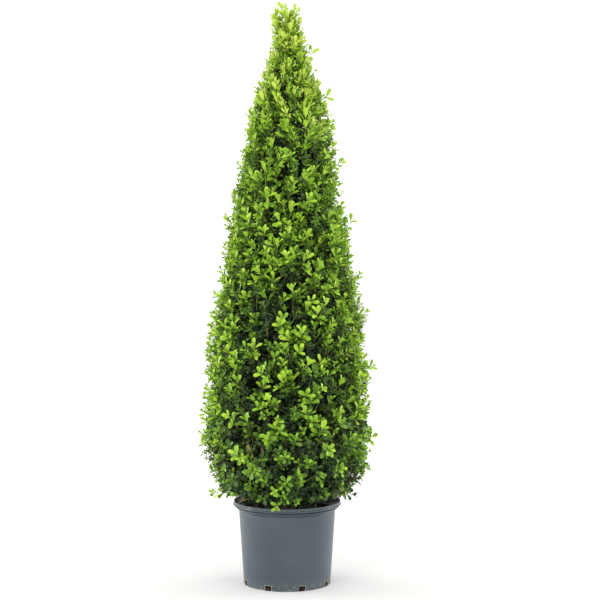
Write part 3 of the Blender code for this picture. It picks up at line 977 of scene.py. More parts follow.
@dataclass(frozen=True)
class Blade:
    """Box leaf: rounded, widest past its middle, folded up from the midrib and bent back to its tip."""

    stations: tuple[float, ...] = (0.18, 0.44, 0.72, 0.93)
    widths: tuple[float, ...] = (0.36, 0.80, 1.00, 0.74)
    fold: float = math.radians(24)

    def surface(
        self, roots: Array, along: Array, face: Array, lengths: Array, widths: Array, bend: Array
    ) -> Surface:
        """Leaves as arrays.

        A point of the midrib = root + length * (sin(b v) / b * along - (1 - cos(b v)) / b * face), where v
        runs from 0 to 1 and b is the bend. An edge point lies half the width from it, out along the blade
        and up by the fold.

        Args:
            roots: Where the leaves stand.
            along: Directions from root to tip.
            face: Directions that the upper sides face.
            lengths: Lengths of the leaves.
            widths: Widths as shares of the lengths.
            bend: Angles that the blades bend through.

        Returns:
            The surface of all the leaves.
        """
        count, rows = len(roots), len(self.stations)
        v = np.array((0.0, *self.stations, 1.0))[None, :, None]
        b = bend[:, None, None]
        curve = np.sin(b * v) / b * along[:, None] - (1 - np.cos(b * v)) / b * face[:, None]
        rib = roots[:, None] + lengths[:, None, None] * curve
        half = 0.5 * (lengths * widths)[:, None, None] * np.array(self.widths)[None, :, None]
        aside = np.cross(along, face)[:, None] * (half * math.cos(self.fold))
        raised = face[:, None] * (half * math.sin(self.fold))
        middle = rib[:, 1:-1]
        bands = np.stack((middle - aside + raised, middle, middle + aside + raised), axis=2)
        points = np.concatenate((rib[:, :1], bands.reshape(count, -1, 3), rib[:, -1:]), axis=1)
        first = 1 + 3 * np.arange(rows - 1)[:, None]
        left = first + np.array((0, 1, 4, 3))
        right = first + np.array((1, 2, 5, 4))
        tip = 3 * rows + 1
        ends = np.array(((0, 3, 2), (0, 2, 1), (tip - 2, tip - 1, tip), (tip - 3, tip - 2, tip)))
        faces = np.concatenate((left.ravel(), right.ravel(), ends.ravel()))
        counts = np.repeat((4, 3), (2 * (rows - 1), 4))
        u = np.array((0.5, *((0.0, 0.5, 1.0) * rows), 0.5))
        uv = np.stack((u, np.concatenate(((0.0,), np.repeat(self.stations, 3), (1.0,)))), axis=-1)
        corners = (faces[None] + np.arange(count)[:, None] * len(u)).ravel()
        return Surface(points.reshape(-1, 3), np.tile(uv, (count, 1)), corners, np.tile(counts, count))


FULL_BLADE = Blade()
SPARE_BLADE = Blade(stations=(0.34, 0.74), widths=(0.80, 0.96))


@dataclass(frozen=True)
class Habit:
    """How leaves stand on a shoot, in pairs from the tip down.

    Distances from the tip and leaf sizes are in tenths of a millimetre, spreads off the shoot in degrees,
    and aging in steps of age, which makes the lower pairs darker: partly real age and partly painted shade.
    """

    distances: tuple[int, ...]
    sizes: tuple[int, ...]
    spreads: tuple[int, ...]
    # Steps older by pair: partly real age and partly painted shade on the lower pairs.
    aging: tuple[int, ...]
    width: float = 0.52
    light_turn: float = 0.15
    twist: float = 0.0
    roll: float = 0.22
    bend: tuple[float, float] = (0.12, 0.62)
    blade: Blade = FULL_BLADE
    spread_scatter: float = 0.14
    size_scatter: float = 0.07
    vigour_scatter: float = 0.10
    older_share: float = 0.10
    least_share: float = 0.04

    def leaves(self, twigs: Twigs, keep: Keep, rng: np.random.Generator) -> dict[LeafAge, Surface]:
        """Leaves of all the twigs, in opposite pairs, each pair square to the last.

        A leaf leaves its twig at its spread, with its upper side towards the tip. It rolls by its twist,
        which is the slope of that roll, and a little at random, and turns its upper side to the light.

        Args:
            twigs: The twigs that bear them.
            keep: Tells which leaves have room.
            rng: Source of the random differences.

        Returns:
            The leaves' surface for each age.
        """
        distances = np.array(self.distances) / TENTHS
        shares = 1 - distances[None] / twigs.lengths()[:, None]
        headings = twigs.headings(np.clip(shares, 0, 1))
        points = twigs.points(np.clip(shares, 0, 1))
        side = squared(np.broadcast_to(twigs.sides[:, None], headings.shape), headings)
        third = np.cross(headings, side)
        outward = np.where((np.arange(len(distances)) % 2 == 0)[None, :, None], side, third)
        outward = np.stack((outward, -outward), axis=2)
        shape = outward.shape[:3]
        spread = np.radians(self.spreads)[None, :, None] + rng.normal(0, self.spread_scatter, shape)
        heading = np.broadcast_to(headings[:, :, None], outward.shape)
        along = heading * np.cos(spread)[..., None] + outward * np.sin(spread)[..., None]
        face = heading * np.sin(spread)[..., None] - outward * np.cos(spread)[..., None]
        rolled = face + np.cross(along, face) * rng.normal(self.twist, self.roll, shape)[..., None]
        face = squared(rolled + UP * self.light_turn, along)
        vigour = (twigs.vigours * rng.normal(1.0, self.vigour_scatter, len(twigs)))[:, None, None]
        size = np.array(self.sizes)[None, :, None] / TENTHS * vigour
        size = size * rng.normal(1.0, self.size_scatter, shape)
        root = points[:, :, None] + outward * (twigs.girths * 0.6)[:, None, None, None]
        age = twigs.ages[:, None, None] + np.array(self.aging)[None, :, None]
        age = np.clip(age + (rng.random(shape) < self.older_share), 0, OLDEST)
        there = (shares > self.least_share)[:, :, None] & keep.leaves(root, along, size)
        bend = rng.uniform(*self.bend, shape)
        width = self.width * rng.normal(1.0, self.size_scatter, shape)
        surfaces = {}
        for number, kind in enumerate(AGES):
            chosen = there & (age == number)
            if chosen.any():
                arrays = (root, along, face, size, width, bend)
                surfaces[kind] = self.blade.surface(*(values[chosen] for values in arrays))
        return surfaces


FLUSH = Habit(
    (5, 55, 165, 295, 435, 585), (95, 185, 248, 252, 225, 193),
    (12, 27, 39, 47, 54, 60), (0, 0, 0, 1, 2, 3),
    width=0.47, bend=(0.10, 0.60),
)
FINE_SHOOT = Habit(
    (5, 55, 120, 190, 270, 360), (80, 125, 145, 150, 150, 145),
    (14, 32, 44, 52, 58, 62), (0, 0, 0, 0, 1, 2),
    width=0.46, roll=0.40,
)
FINE_SIDE = Habit(
    (5, 60, 130, 210), (80, 125, 140, 140), (16, 36, 48, 58), (0, 0, 0, 1),
    width=0.46, roll=0.45, blade=SPARE_BLADE,
)
TULIP = Habit(
    (5, 60, 160, 275, 400, 530), (110, 200, 245, 250, 235, 210),
    (6, 13, 21, 29, 36, 42), (0, 0, 0, 1, 1, 2),
    width=0.46, light_turn=0.05, bend=(0.05, 0.55),
)
FLAME = Habit(
    (5, 80, 180, 290, 410, 540), (115, 175, 205, 210, 200, 185),
    (5, 12, 19, 25, 30, 36), (0, 0, 0, 1, 1, 2),
    width=0.35, light_turn=0.0, roll=0.40, bend=(0.05, 0.60),
)
FLAME_SIDE = Habit(
    (10, 90, 200), (105, 160, 175), (7, 16, 25), (0, 0, 1),
    width=0.35, light_turn=0.0, roll=0.45, bend=(0.05, 0.50),
)
STRAY = Habit(
    (5, 60, 165, 290, 425, 570), (110, 205, 245, 245, 230, 210),
    (14, 34, 47, 54, 58, 60), (0, 0, 0, 1, 1, 2),
    width=0.47, twist=1.8, roll=0.6,
)
RIM_TUFT = Habit((5, 45, 130, 240), (80, 150, 175, 165), (18, 40, 56, 64), (0, 0, 1, 2), width=0.56)
ROSETTE = Habit(
    (5, 35, 100, 190, 300, 430), (92, 175, 225, 230, 207, 184),
    (16, 36, 52, 62, 68, 72), (0, 0, 1, 1, 2, 3),
    width=0.55, bend=(0.15, 0.60),
)
SIDE_SHOOT = Habit((5, 60, 150, 250), (94, 160, 188, 179), (14, 32, 46, 56), (0, 0, 1, 2), width=0.44)
INNER_SHOOT = Habit(
    (10, 80, 170, 270, 380, 500), (110, 155, 170, 170, 165, 160),
    (22, 42, 54, 62, 66, 70), (0, 0, 1, 1, 1, 1),
    roll=0.40, blade=SPARE_BLADE,
)
INNER_SIDE = Habit(
    (10, 80, 160, 250), (110, 150, 160, 155), (24, 46, 58, 66), (0, 1, 1, 1), roll=0.45, blade=SPARE_BLADE
)


@dataclass(frozen=True)
class Layer:
    """Shoots that end at one depth under the skin.

    share is their number beside the tier's, and older how many steps older and darker their leaves are,
    which
    darkens the deeper layers: partly real age and partly painted shade inside the crown. fork is how far
    below the tip a pair of side shoots stands, and lift how much steeper than the tier they rise.
    """

    habit: Habit
    side_habit: Habit
    green: bool
    fork: float
    side_length: float
    share: float
    depth: float
    scatter: float
    older: int
    lift: float = 0.0
    fork_angle: float = math.radians(40)
    turn: float = 0.20

    def at(self, share: float, depth: float, scatter: float, older: int, lift: float) -> "Layer":
        """The same kind of shoots in another place.

        Args:
            share: Their number beside the tier's.
            depth: Their depth.
            scatter: Scatter of that depth.
            older: How many steps older they are.
            lift: Their lift in degrees.

        Returns:
            The layer.
        """
        return replace(
            self, share=share, depth=depth, scatter=scatter, older=older, lift=math.radians(lift)
        )


OUTER = Layer(
    FLUSH, SIDE_SHOOT, green=True, fork=0.044, side_length=0.026,
    share=1.12, depth=0.009, scatter=0.006, older=0, turn=0.15,
)
FINE = Layer(
    FINE_SHOOT, FINE_SIDE, green=True, fork=0.024, side_length=0.026,
    share=0.8, depth=0.019, scatter=0.005, older=2,
)
INNER = Layer(
    INNER_SHOOT, INNER_SIDE, green=False, fork=0.032, side_length=0.034,
    share=1.9, depth=0.042, scatter=0.008, older=3,
)
UPRIGHT = Layer(
    FLAME, FLAME_SIDE, green=True, fork=0.042, side_length=0.040,
    share=0.7, depth=0.007, scatter=0.006, older=0,
)
STRAY_LAYER = replace(OUTER, habit=STRAY, fork=0.060, side_length=0.020)
RIM_LAYER = replace(OUTER, habit=RIM_TUFT, fork=0.040, side_length=0.020)


def ring_layers(lifts: tuple[float, float, float, float], depth: float, scatter: float) -> tuple[Layer, ...]:
    """Layers of a tier between skirt and spire.

    Args:
        lifts: Lifts in degrees of the outer, the fine, the inner and the last shoots.
        depth: Depth of the last shoots.
        scatter: Scatter of that depth.

    Returns:
        The layers, from the skin inwards.
    """
    outer, fine, inner, last = lifts
    return (
        replace(OUTER, lift=math.radians(outer)),
        FINE.at(0.8, 0.019, 0.005, 2, fine),
        FINE.at(1.3, 0.026, 0.006, 3, fine),
        INNER.at(1.9, 0.042, 0.008, 3, inner),
        INNER.at(1.7, depth, scatter, 5, last),
    )


TIP_LAYERS = tuple(
    replace(layer, fork_angle=math.radians(26), turn=0.15)
    for layer in (
        UPRIGHT.at(0.7, 0.007, 0.006, 0, 18),
        replace(UPRIGHT, habit=TULIP).at(0.5, 0.004, 0.005, 0, 18),
        FINE.at(1.3, 0.022, 0.006, 2, 18),
        INNER.at(0.8, 0.042, 0.006, 3, 18),
    )
)
PLUME_LAYER = TIP_LAYERS[1]
TOP_LAYERS = ring_layers((24, 14, 8, 4), 0.064, 0.010)
MIDDLE_LAYERS = ring_layers((19, 12, 6, 0), 0.068, 0.012)
LOW_LAYERS = (
    replace(OUTER, habit=ROSETTE, fork=0.034, side_length=0.028, lift=math.radians(12)),
    FINE.at(1.6, 0.020, 0.006, 1, 8),
    INNER.at(2.0, 0.036, 0.008, 1, 6),
    INNER.at(1.7, 0.062, 0.012, 3, 0),
)


@dataclass(frozen=True)
class Sprig:
    """Shoot at a place of its own.

    The height of its tip and how proud it stands of the skin are in millimetres, its bearing and rise in
    degrees.
    """

    height: int
    bearing: int
    age: int = 1
    rise: int = 34
    proud: int = 4


ROSETTES = (
    Sprig(513, -102), Sprig(495, -109, 2), Sprig(464, -96), Sprig(436, -94, 2), Sprig(527, -76),
    Sprig(481, -77, 2), Sprig(537, -65), Sprig(459, -72, 2), Sprig(437, -65), Sprig(447, -50, 2),
    Sprig(408, -41, 2), Sprig(418, -102), Sprig(418, -84, 2), Sprig(384, -61, 1, 20, 10), Sprig(369, -127),
    Sprig(347, -145, 2), Sprig(328, -116, 2, 20, 6), Sprig(315, -109, 2), Sprig(368, -91, 2),
    Sprig(353, -76, 2), Sprig(302, -90, 2, 14), Sprig(316, -81, 2), Sprig(313, -64, 2), Sprig(326, -47),
    Sprig(357, -25, 2), Sprig(298, -136, 3), Sprig(565, -93, 1, 45, 5), Sprig(583, -108, 1, 46),
    Sprig(605, -75, 1, 47), Sprig(645, -92, 2, 50), Sprig(685, -79, 1, 52), Sprig(705, -95, 1, 52, 6),
    Sprig(872, -90, 1, 58, 5), Sprig(874, -72, 1, 58), Sprig(887, -108, 1, 58), Sprig(935, -88, 1, 62),
    Sprig(994, -122, 1, 64), Sprig(1030, -111, 1, 66), Sprig(1100, -116, 1, 68), Sprig(1134, -90, 1, 68, 5),
)
BACK_ROSETTES = tuple(replace(sprig, bearing=8 - sprig.bearing) for sprig in ROSETTES)
RIM_TUFTS = (
    Sprig(262, -168, 4, 2, 0), Sprig(252, -150, 4, -6, -6), Sprig(256, -132, 4, -4, -4),
    Sprig(250, -118, 4, -8, -12), Sprig(246, -66, 4, -6, -10), Sprig(256, -52, 4, 0, 0),
    Sprig(248, -38, 4, -8, -4), Sprig(258, -24, 4, 0, 2), Sprig(252, -10, 4, -4, 0),
    Sprig(260, 12, 4, 0, -2), Sprig(258, 168, 4, 0, -4), Sprig(272, -100, 1, 8, 2),
    Sprig(262, -92, 2, 4, 0), Sprig(246, -80, 2, 0, 0), Sprig(226, -101, 1, -24, 2),
)
STRAYS = (
    Sprig(1110, -6, 1, 40, 18), Sprig(958, 4, 1, 38, 20), Sprig(575, -3, 1, 30, 13),
    Sprig(385, 8, 1, 32, 15), Sprig(372, 184, 1, 30, 10), Sprig(1400, -2, 1, 52, 24),
    Sprig(1279, -6, 1, 30, 24), Sprig(1213, -4, 1, 44, 14), Sprig(242, 186, 1, 12, 36),
    Sprig(238, -6, 4, 8, 16), Sprig(302, 2, 2, 16, 16), Sprig(398, 178, 1, 26, 10),
)
PLUMES = (
    Sprig(1518, 174, 0, 80, 7), Sprig(1512, 2, 0, 86, 10), Sprig(1494, -95, 0, 82),
    Sprig(1492, 165, 0, 72, 10), Sprig(1482, 178, 0, 60, 12), Sprig(1474, -10, 0, 74, 12),
    Sprig(1462, -150, 0, 66, 10), Sprig(1455, -78, 0, 78), Sprig(1436, -104, 0, 76),
    Sprig(1418, -62, 0, 74, 6),
)


@dataclass(frozen=True)
class Stick:
    """Dry twig in the skin: height, bearing in degrees and distance past the skin of its two ends.

    The heights and distances are in millimetres, and the girth in metres.
    """

    foot: tuple[int, int, int]
    head: tuple[int, int, int]
    girth: float

    def end(self, place_at: tuple[int, int, int]) -> Array:
        """Point in space at one end.

        Args:
            place_at: The end's height, bearing and distance past the skin.

        Returns:
            The point.
        """
        height, bearing, proud = place_at[0] / MILLIMETRES, place_at[1], place_at[2] / MILLIMETRES
        out = level(np.array(math.radians(bearing))) * (CROWN.radius(np.array(height)) + proud)
        return out + UP * height


@dataclass(frozen=True)
class DryTwigs:
    """Dry twigs of one kind, each with a forked pair of finer ones."""

    name: str
    finish: Finish
    nodes: tuple[str, ...]
    seed: int
    sticks: tuple[Stick, ...]
    bend: float = 0.35
    fork: float = 0.6
    fork_angle: float = math.radians(35)
    fork_length: float = 0.35
    fork_spread: float = 0.2

    def build(self) -> None:
        """Makes the twigs, bent a little at random."""
        rng = np.random.default_rng(self.seed)
        feet = np.array([stick.end(stick.foot) for stick in self.sticks])
        heads = np.array([stick.end(stick.head) for stick in self.sticks])
        heading = unit(heads - feet)
        leaving = unit(heading + rng.normal(0, self.bend, feet.shape))
        arriving = unit(heading + rng.normal(0, self.bend, feet.shape))
        sides = squared(rng.normal(0, 1, feet.shape), arriving)
        girths = np.array([stick.girth for stick in self.sticks])
        ages = np.zeros(len(feet), dtype=int)
        twigs = Twigs(feet, leaving, heads, arriving, sides, girths, ages, np.ones(len(feet)))
        shares, lengths = np.full(len(feet), self.fork), self.fork_length * twigs.lengths()
        forked = twigs.forks(shares, self.fork_angle, lengths, self.fork_spread, rng)
        surface = Surface.joined((twigs.wood(8, 5), forked.wood(4, 4)))
        surface.add(self.name, self.finish, "bark", *self.nodes)


DEAD_TWIGS = DryTwigs(
    "dead_twigs", BARK, ("foliage_skirt",), 71,
    (
        Stick((350, -112, 0), (396, -117, -6), 0.0007),
        Stick((376, -105, 3), (404, -110, -10), 0.0008),
        Stick((402, -120, -14), (372, -116, -6), 0.0006),
    ),
)
STRAWS = DryTwigs(
    "straws", STRAW, ("foliage_skirt", "foliage_middle"), 72,
    (
        Stick((236, -128, -40), (250, -146, -20), 0.0010),
        Stick((240, -136, -30), (232, -152, -12), 0.0008),
        Stick((240, -44, -30), (262, -30, 0), 0.0009),
        Stick((246, -50, -24), (256, -34, -4), 0.0008),
        Stick((236, -40, -34), (248, -20, -8), 0.0008),
        Stick((640, -8, -20), (700, -6, 4), 0.0009),
        Stick((760, -14, -16), (810, -10, 4), 0.0009),
        Stick((860, -10, -16), (905, -4, 4), 0.0008),
    ),
)


@dataclass
class Tier:
    """One tier of the crown, between two cones that rise outwards.

    low and high are the heights of the cones at the crown's skin, low_pitch and high_pitch their slopes in
    degrees. The tips end the crest's height below the tier's top. Limbs end their shortfall under the skin,
    or at least_reach of its radius if that is more, and branches theirs. step_depth is how deep under its
    layer a side shoot has leaves one step older and darker, partly real age and partly painted shade inside
    the crown. side_fineness is how much smaller the leaves are at the two sides, and side_crowding how much
    closer the green shoots stand there.
    """

    name: str
    low: float
    high: float
    low_pitch: float
    high_pitch: float
    limbs: int
    shoots: int
    seed: int
    layers: tuple[Layer, ...]
    lowest_tip: float = 0.0
    crest: float = 0.0
    limb_girth: float = 0.0042
    limb_shortfall: float = 0.066
    least_reach: float = 0.30
    limb_bend: float = 0.15
    wood_forks: tuple[float, ...] = (0.34, 0.52, 0.70, 0.88)
    fork_angle: float = math.radians(46)
    fork_spread: float = 0.12
    branch_length: float = 0.085
    branch_shortfall: float = 0.03
    shoot_reach: float = 0.066
    shoot_girth: float = 0.0013
    shoot_sway: float = 0.26
    steepest: float = math.radians(86)
    step_depth: float = 0.011
    full_depth_radius: float = 0.12
    side_fineness: float = 0.22
    side_crowding: float = 0.16
    rng: np.random.Generator = field(init=False)
    made: dict[str, list[Surface]] = field(init=False, default_factory=dict)

    def __post_init__(self) -> None:
        """Starts the source of the tier's random differences."""
        self.rng = np.random.default_rng(self.seed)

    def skin_height(self, share: Array) -> Array:
        """Heights at the crown's skin, for shares of the way up the tier."""
        return self.low + (self.high - self.low) * share

    def pitch(self, share: Array) -> Array:
        """Rises of the shoots above level, for shares of the way up the tier."""
        low, high = math.radians(self.low_pitch), math.radians(self.high_pitch)
        return low + (high - low) * share

    def height(self, share: Array, radius: Array) -> Array:
        """Heights at a radius on the cones that lie a share of the way up the tier."""
        skin = self.skin_height(share)
        return skin - np.tan(self.pitch(share)) * (CROWN.radius(skin) - radius)

    def direction(self, angle: Array, pitch: Array) -> Array:
        """Unit vectors that rise outwards at these angles and pitches."""
        return level(angle) * np.cos(pitch)[:, None] + UP * np.sin(pitch)[:, None]

    def make_limbs(self) -> Twigs:
        """Limbs from the stem to well below the skin, a golden angle apart on their way up the tier.

        Returns:
            The limbs.
        """
        i = np.arange(self.limbs)
        share = (i + 0.5) / self.limbs
        angle = i * GOLDEN_ANGLE + self.seed
        skin = self.skin_height(share)
        radius = CROWN.radius(skin)
        end_radius = np.maximum(radius - self.limb_shortfall, self.least_reach * radius)
        root = np.maximum(self.height(share, np.zeros(self.limbs)), CROWN.stem_foot + 0.02)
        root = np.minimum(root, CROWN.leader_tip - 0.03)
        starts = CROWN.around(angle, CROWN.stem_radius(root) * 0.6, root)
        tips = CROWN.around(angle, end_radius, np.maximum(self.height(share, end_radius), root + 0.004))
        heading = self.direction(angle, self.pitch(share))
        leaving = unit(heading + self.rng.normal(0, self.limb_bend, heading.shape))
        girths = np.minimum(self.limb_girth, 0.75 * CROWN.stem_radius(root))
        sides = unit(np.cross(heading, UP))
        ages = np.zeros(self.limbs, dtype=int)
        return Twigs(starts, leaving, tips, heading, sides, girths, ages, np.ones(self.limbs))

    def make_branches(self, limbs: Twigs) -> Twigs:
        """Opposite pairs of branches up each limb, each pair square to the last.

        Args:
            limbs: The limbs that bear them.

        Returns:
            The branches, which stop short of the skin.
        """
        made = []
        for i, share in enumerate(self.wood_forks):
            sides = limbs.sides if i % 2 else np.cross(limbs.arriving, limbs.sides)
            bearers = replace(limbs, sides=sides, girths=limbs.girths * 0.85)
            shares = np.full(len(limbs), share)
            length = np.minimum(0.20 + 0.62 * (1 - share) * limbs.lengths(), self.branch_length)
            made.append(bearers.forks(shares, self.fork_angle, length, self.fork_spread, self.rng))
        branches = Twigs.joined(made)
        inside = CROWN.sunk(branches.tips) > self.branch_shortfall
        return branches.kept(inside & CROWN_ROOM.holds(branches.tips))

    def skin_places(self, count: int, first: float, crowding: float) -> tuple[Array, Array]:
        """Places that spread evenly over the tier's skin.

        Args:
            count: Number of places.
            first: Angle of the first.
            crowding: How much closer they stand at the two sides.

        Returns:
            Shares of the way up the tier, and angles round it.
        """
        fine = np.linspace(0, 1, 200)
        area = np.cumsum(CROWN.radius(self.skin_height(fine)) + 0.012)
        area = (area - area[0]) / (area[-1] - area[0])
        even = (np.arange(count) + 0.5) / count
        share = np.interp(even, area, fine) + self.rng.normal(0, 0.007, count) / (self.high - self.low)
        angle = np.arange(count) * GOLDEN_ANGLE + first + self.rng.normal(0, 0.06, count)
        return np.clip(share, 0, 1), angle - crowding * np.sin(2 * angle)

    def make_shoots(self, layer: Layer, wood: Twigs) -> Twigs:
        """Shoots whose tips spread evenly at one depth under the lumpy skin, each from the nearest wood.

        Args:
            layer: Their depth, rise and ages.
            wood: The limbs and branches.

        Returns:
            The shoots.
        """
        count = round(self.shoots * layer.share)
        crowding = self.side_crowding if layer.green else 0.0
        share, angle = self.skin_places(count, self.seed + 40 * layer.depth, crowding)
        share = share * (1 - self.crest / (self.high - self.low))
        lowest = self.lowest_tip if layer.green else self.low + 0.004
        skin = np.maximum(self.skin_height(share), lowest)
        slim = np.minimum(CROWN.radius(skin) / self.full_depth_radius, 1)
        depth = layer.depth + self.rng.normal(0, layer.scatter, count)
        radius = np.maximum(CROWN.radius(skin) + slim * (CROWN.lumps(angle, skin) - depth), 0.002)
        tips = CROWN.around(angle, radius, skin)
        rise = self.pitch(share) + layer.lift + self.rng.normal(0, layer.turn, count)
        pitch = np.minimum(rise, self.steepest)
        arriving = self.direction(angle + self.rng.normal(0, self.shoot_sway, count), pitch)
        ages = AGEING.ages(angle, skin, layer.older, self.rng)
        return self.grown_to(tips, arriving, ages, 1 - self.side_fineness * sideness(angle), wood)

    def make_sprigs(self, sprigs: tuple[Sprig, ...], wood: Twigs) -> Twigs:
        """The shoots with places of their own that stand in this tier.

        Args:
            sprigs: Their places.
            wood: The limbs and branches that may bear them.

        Returns:
            The shoots.
        """
        inside = [sprig for sprig in sprigs if self.low <= sprig.height / MILLIMETRES < self.high]
        heights = np.array([sprig.height for sprig in inside]) / MILLIMETRES
        angles = np.radians([sprig.bearing for sprig in inside])
        proud = np.array([sprig.proud for sprig in inside]) / MILLIMETRES
        tips = level(angles) * (CROWN.radius(heights) + proud)[:, None] + UP * heights[:, None]
        arriving = self.direction(angles, np.radians([sprig.rise for sprig in inside]))
        ages = np.array([sprig.age for sprig in inside], dtype=int)
        return self.grown_to(tips, arriving, ages, np.ones(len(inside)), wood)

    def grown_to(self, tips: Array, arriving: Array, ages: Array, vigours: Array, wood: Twigs) -> Twigs:
        """Shoots that end at these tips.

        Args:
            tips: Where they end.
            arriving: Their directions there.
            ages: Their ages.
            vigours: Sizes of their leaves beside the habit's.
            wood: The limbs and branches that may bear them.

        Returns:
            The shoots, each from the point of wood that lies nearest to a shoot's length behind its tip.
        """
        shares = np.linspace(0.15, 1.0, 9)
        bearers = wood.points(shares).reshape(-1, 3)
        headings = wood.headings(shares).reshape(-1, 3)
        ideal = tips - arriving * self.shoot_reach
        nearest = np.argmin(np.linalg.norm(ideal[:, None] - bearers[None], axis=-1), axis=1)
        starts = bearers[nearest]
        leaving = unit(headings[nearest] + 0.9 * unit(tips - starts))
        sides = squared(self.rng.normal(0, 1, tips.shape), arriving)
        girths = np.full(len(tips), self.shoot_girth)
        return Twigs(starts, leaving, tips, arriving, sides, girths, ages, vigours)

    def dress(self, layer: Layer, shoots: Twigs, keep: Keep) -> None:
        """Adds shoots, their side shoots and all their leaves to the tier's surfaces.

        Args:
            layer: How they fork and bear leaves.
            shoots: The shoots.
            keep: The room for their leaves.
        """
        fork = np.clip(1 - layer.fork / shoots.lengths(), 0.1, 0.9)
        lengths = np.full(len(shoots), layer.side_length)
        sides = shoots.forks(fork, layer.fork_angle, lengths, 0.8 * layer.turn, self.rng)
        # Painted shade, partly real age: side shoots sunk deeper under the skin get older, darker leaves.
        sunk = CROWN.sunk(sides.tips) - layer.depth
        older = np.clip(sunk // self.step_depth, 0, 3).astype(int)
        sides = replace(sides, ages=np.minimum(sides.ages + older, OLDEST))
        sides = sides.kept(keep.holds(sides.tips))
        kind = "shoots" if layer.green else "twigs"
        self.made.setdefault(kind, []).extend((shoots.wood(5, 3), sides.wood(3, 3)))
        for habit, bearers in ((layer.habit, shoots), (layer.side_habit, sides)):
            for age, surface in habit.leaves(bearers, keep, self.rng).items():
                self.made.setdefault(f"leaves_{age.name.lower()}", []).append(surface)

    def build(self) -> None:
        """Grows the tier and makes its pieces, which stand for its solid."""
        limbs = self.make_limbs()
        branches = self.make_branches(limbs)
        wood = Twigs.joined((limbs, branches))
        self.made["limbs"] = [limbs.wood(9, 7, 0.55), branches.wood(6, 5)]
        for layer in self.layers:
            self.dress(layer, self.make_shoots(layer, wood), CROWN_ROOM)
        placed = (
            (self.layers[0], ROSETTES),
            (STRAY_LAYER, STRAYS),
            (RIM_LAYER, RIM_TUFTS),
            (PLUME_LAYER, PLUMES),
            (self.layers[0], BACK_ROSETTES),
        )
        for layer, sprigs in placed:
            shoots = self.make_sprigs(sprigs, wood)
            if len(shoots):
                self.dress(layer, shoots, SPRIG_ROOM)
        for kind, surfaces in self.made.items():
            finish = WOOD_FINISHES.get(kind) or LeafAge[kind.removeprefix("leaves_").upper()].value
            slot = "bark" if finish == TWIG_BARK else f"leaves_{self.name}"
            Surface.joined(surfaces).add(f"{self.name}_{kind}", finish, slot, f"foliage_{self.name}")


TIERS = (
    Tier("skirt", 0.224, 0.425, 0, 22, 17, 132, 11, LOW_LAYERS, lowest_tip=0.250),
    Tier("lower", 0.425, 0.650, 22, 32, 17, 146, 23, MIDDLE_LAYERS),
    Tier("middle", 0.650, 0.905, 32, 41, 17, 150, 37, MIDDLE_LAYERS),
    Tier("upper", 0.905, 1.180, 41, 50, 15, 122, 41, TOP_LAYERS),
    Tier("spire", 1.180, 1.520, 42, 76, 16, 100, 53, TIP_LAYERS, crest=0.030),
)


# Stem, compost and pot


@dataclass(frozen=True)
class Stem:
    """Stem and leader with the bark's ridges.

    crowding is the power that brings the rings together at the foot, and grain how far the ridges are drawn
    out along the stem.
    """

    rings: int = 240
    corners: int = 36
    crowding: float = 1.3
    ridge: float = 0.10
    grain: float = 0.16

    def build(self) -> None:
        """Makes the stem: its radius times 1 plus noise that is drawn out along it."""
        share = np.linspace(0, 1, self.rings) ** self.crowding
        heights = CROWN.stem_foot + (CROWN.stem_tip - CROWN.stem_foot) * share
        smooth = CROWN.stem_radius(heights)[:, None]
        at = ringed(smooth, round_turn(self.corners), heights[:, None] * self.grain)
        rough = 0.65 * lattice_noise(at, 0.0045, 3) + 0.35 * lattice_noise(at, 0.0018, 4)
        surface = turned(smooth * (1 + self.ridge * rough), heights, self.corners)
        points = surface.points + CROWN.axis(surface.points[:, 2]) * np.array((1, 1, 0))
        replace(surface, points=points).add("stem_bark", BARK, "bark", "stem")

    def build_leader(self) -> None:
        """Makes the leader, which stands on the stem's tip in the spire."""
        heights = np.linspace(CROWN.stem_tip + 0.0003, CROWN.leader_tip, 60)
        radii = CROWN.stem_radius(heights) * (1 + 0.08 * lattice_noise(CROWN.axis(heights), 0.006, 8))
        surface = tubes(CROWN.axis(heights)[None], radii[None], np.array(((0.0, 1.0, 0.0),)), 12)
        surface.add("leader", TWIG_BARK, "bark", "foliage_spire")


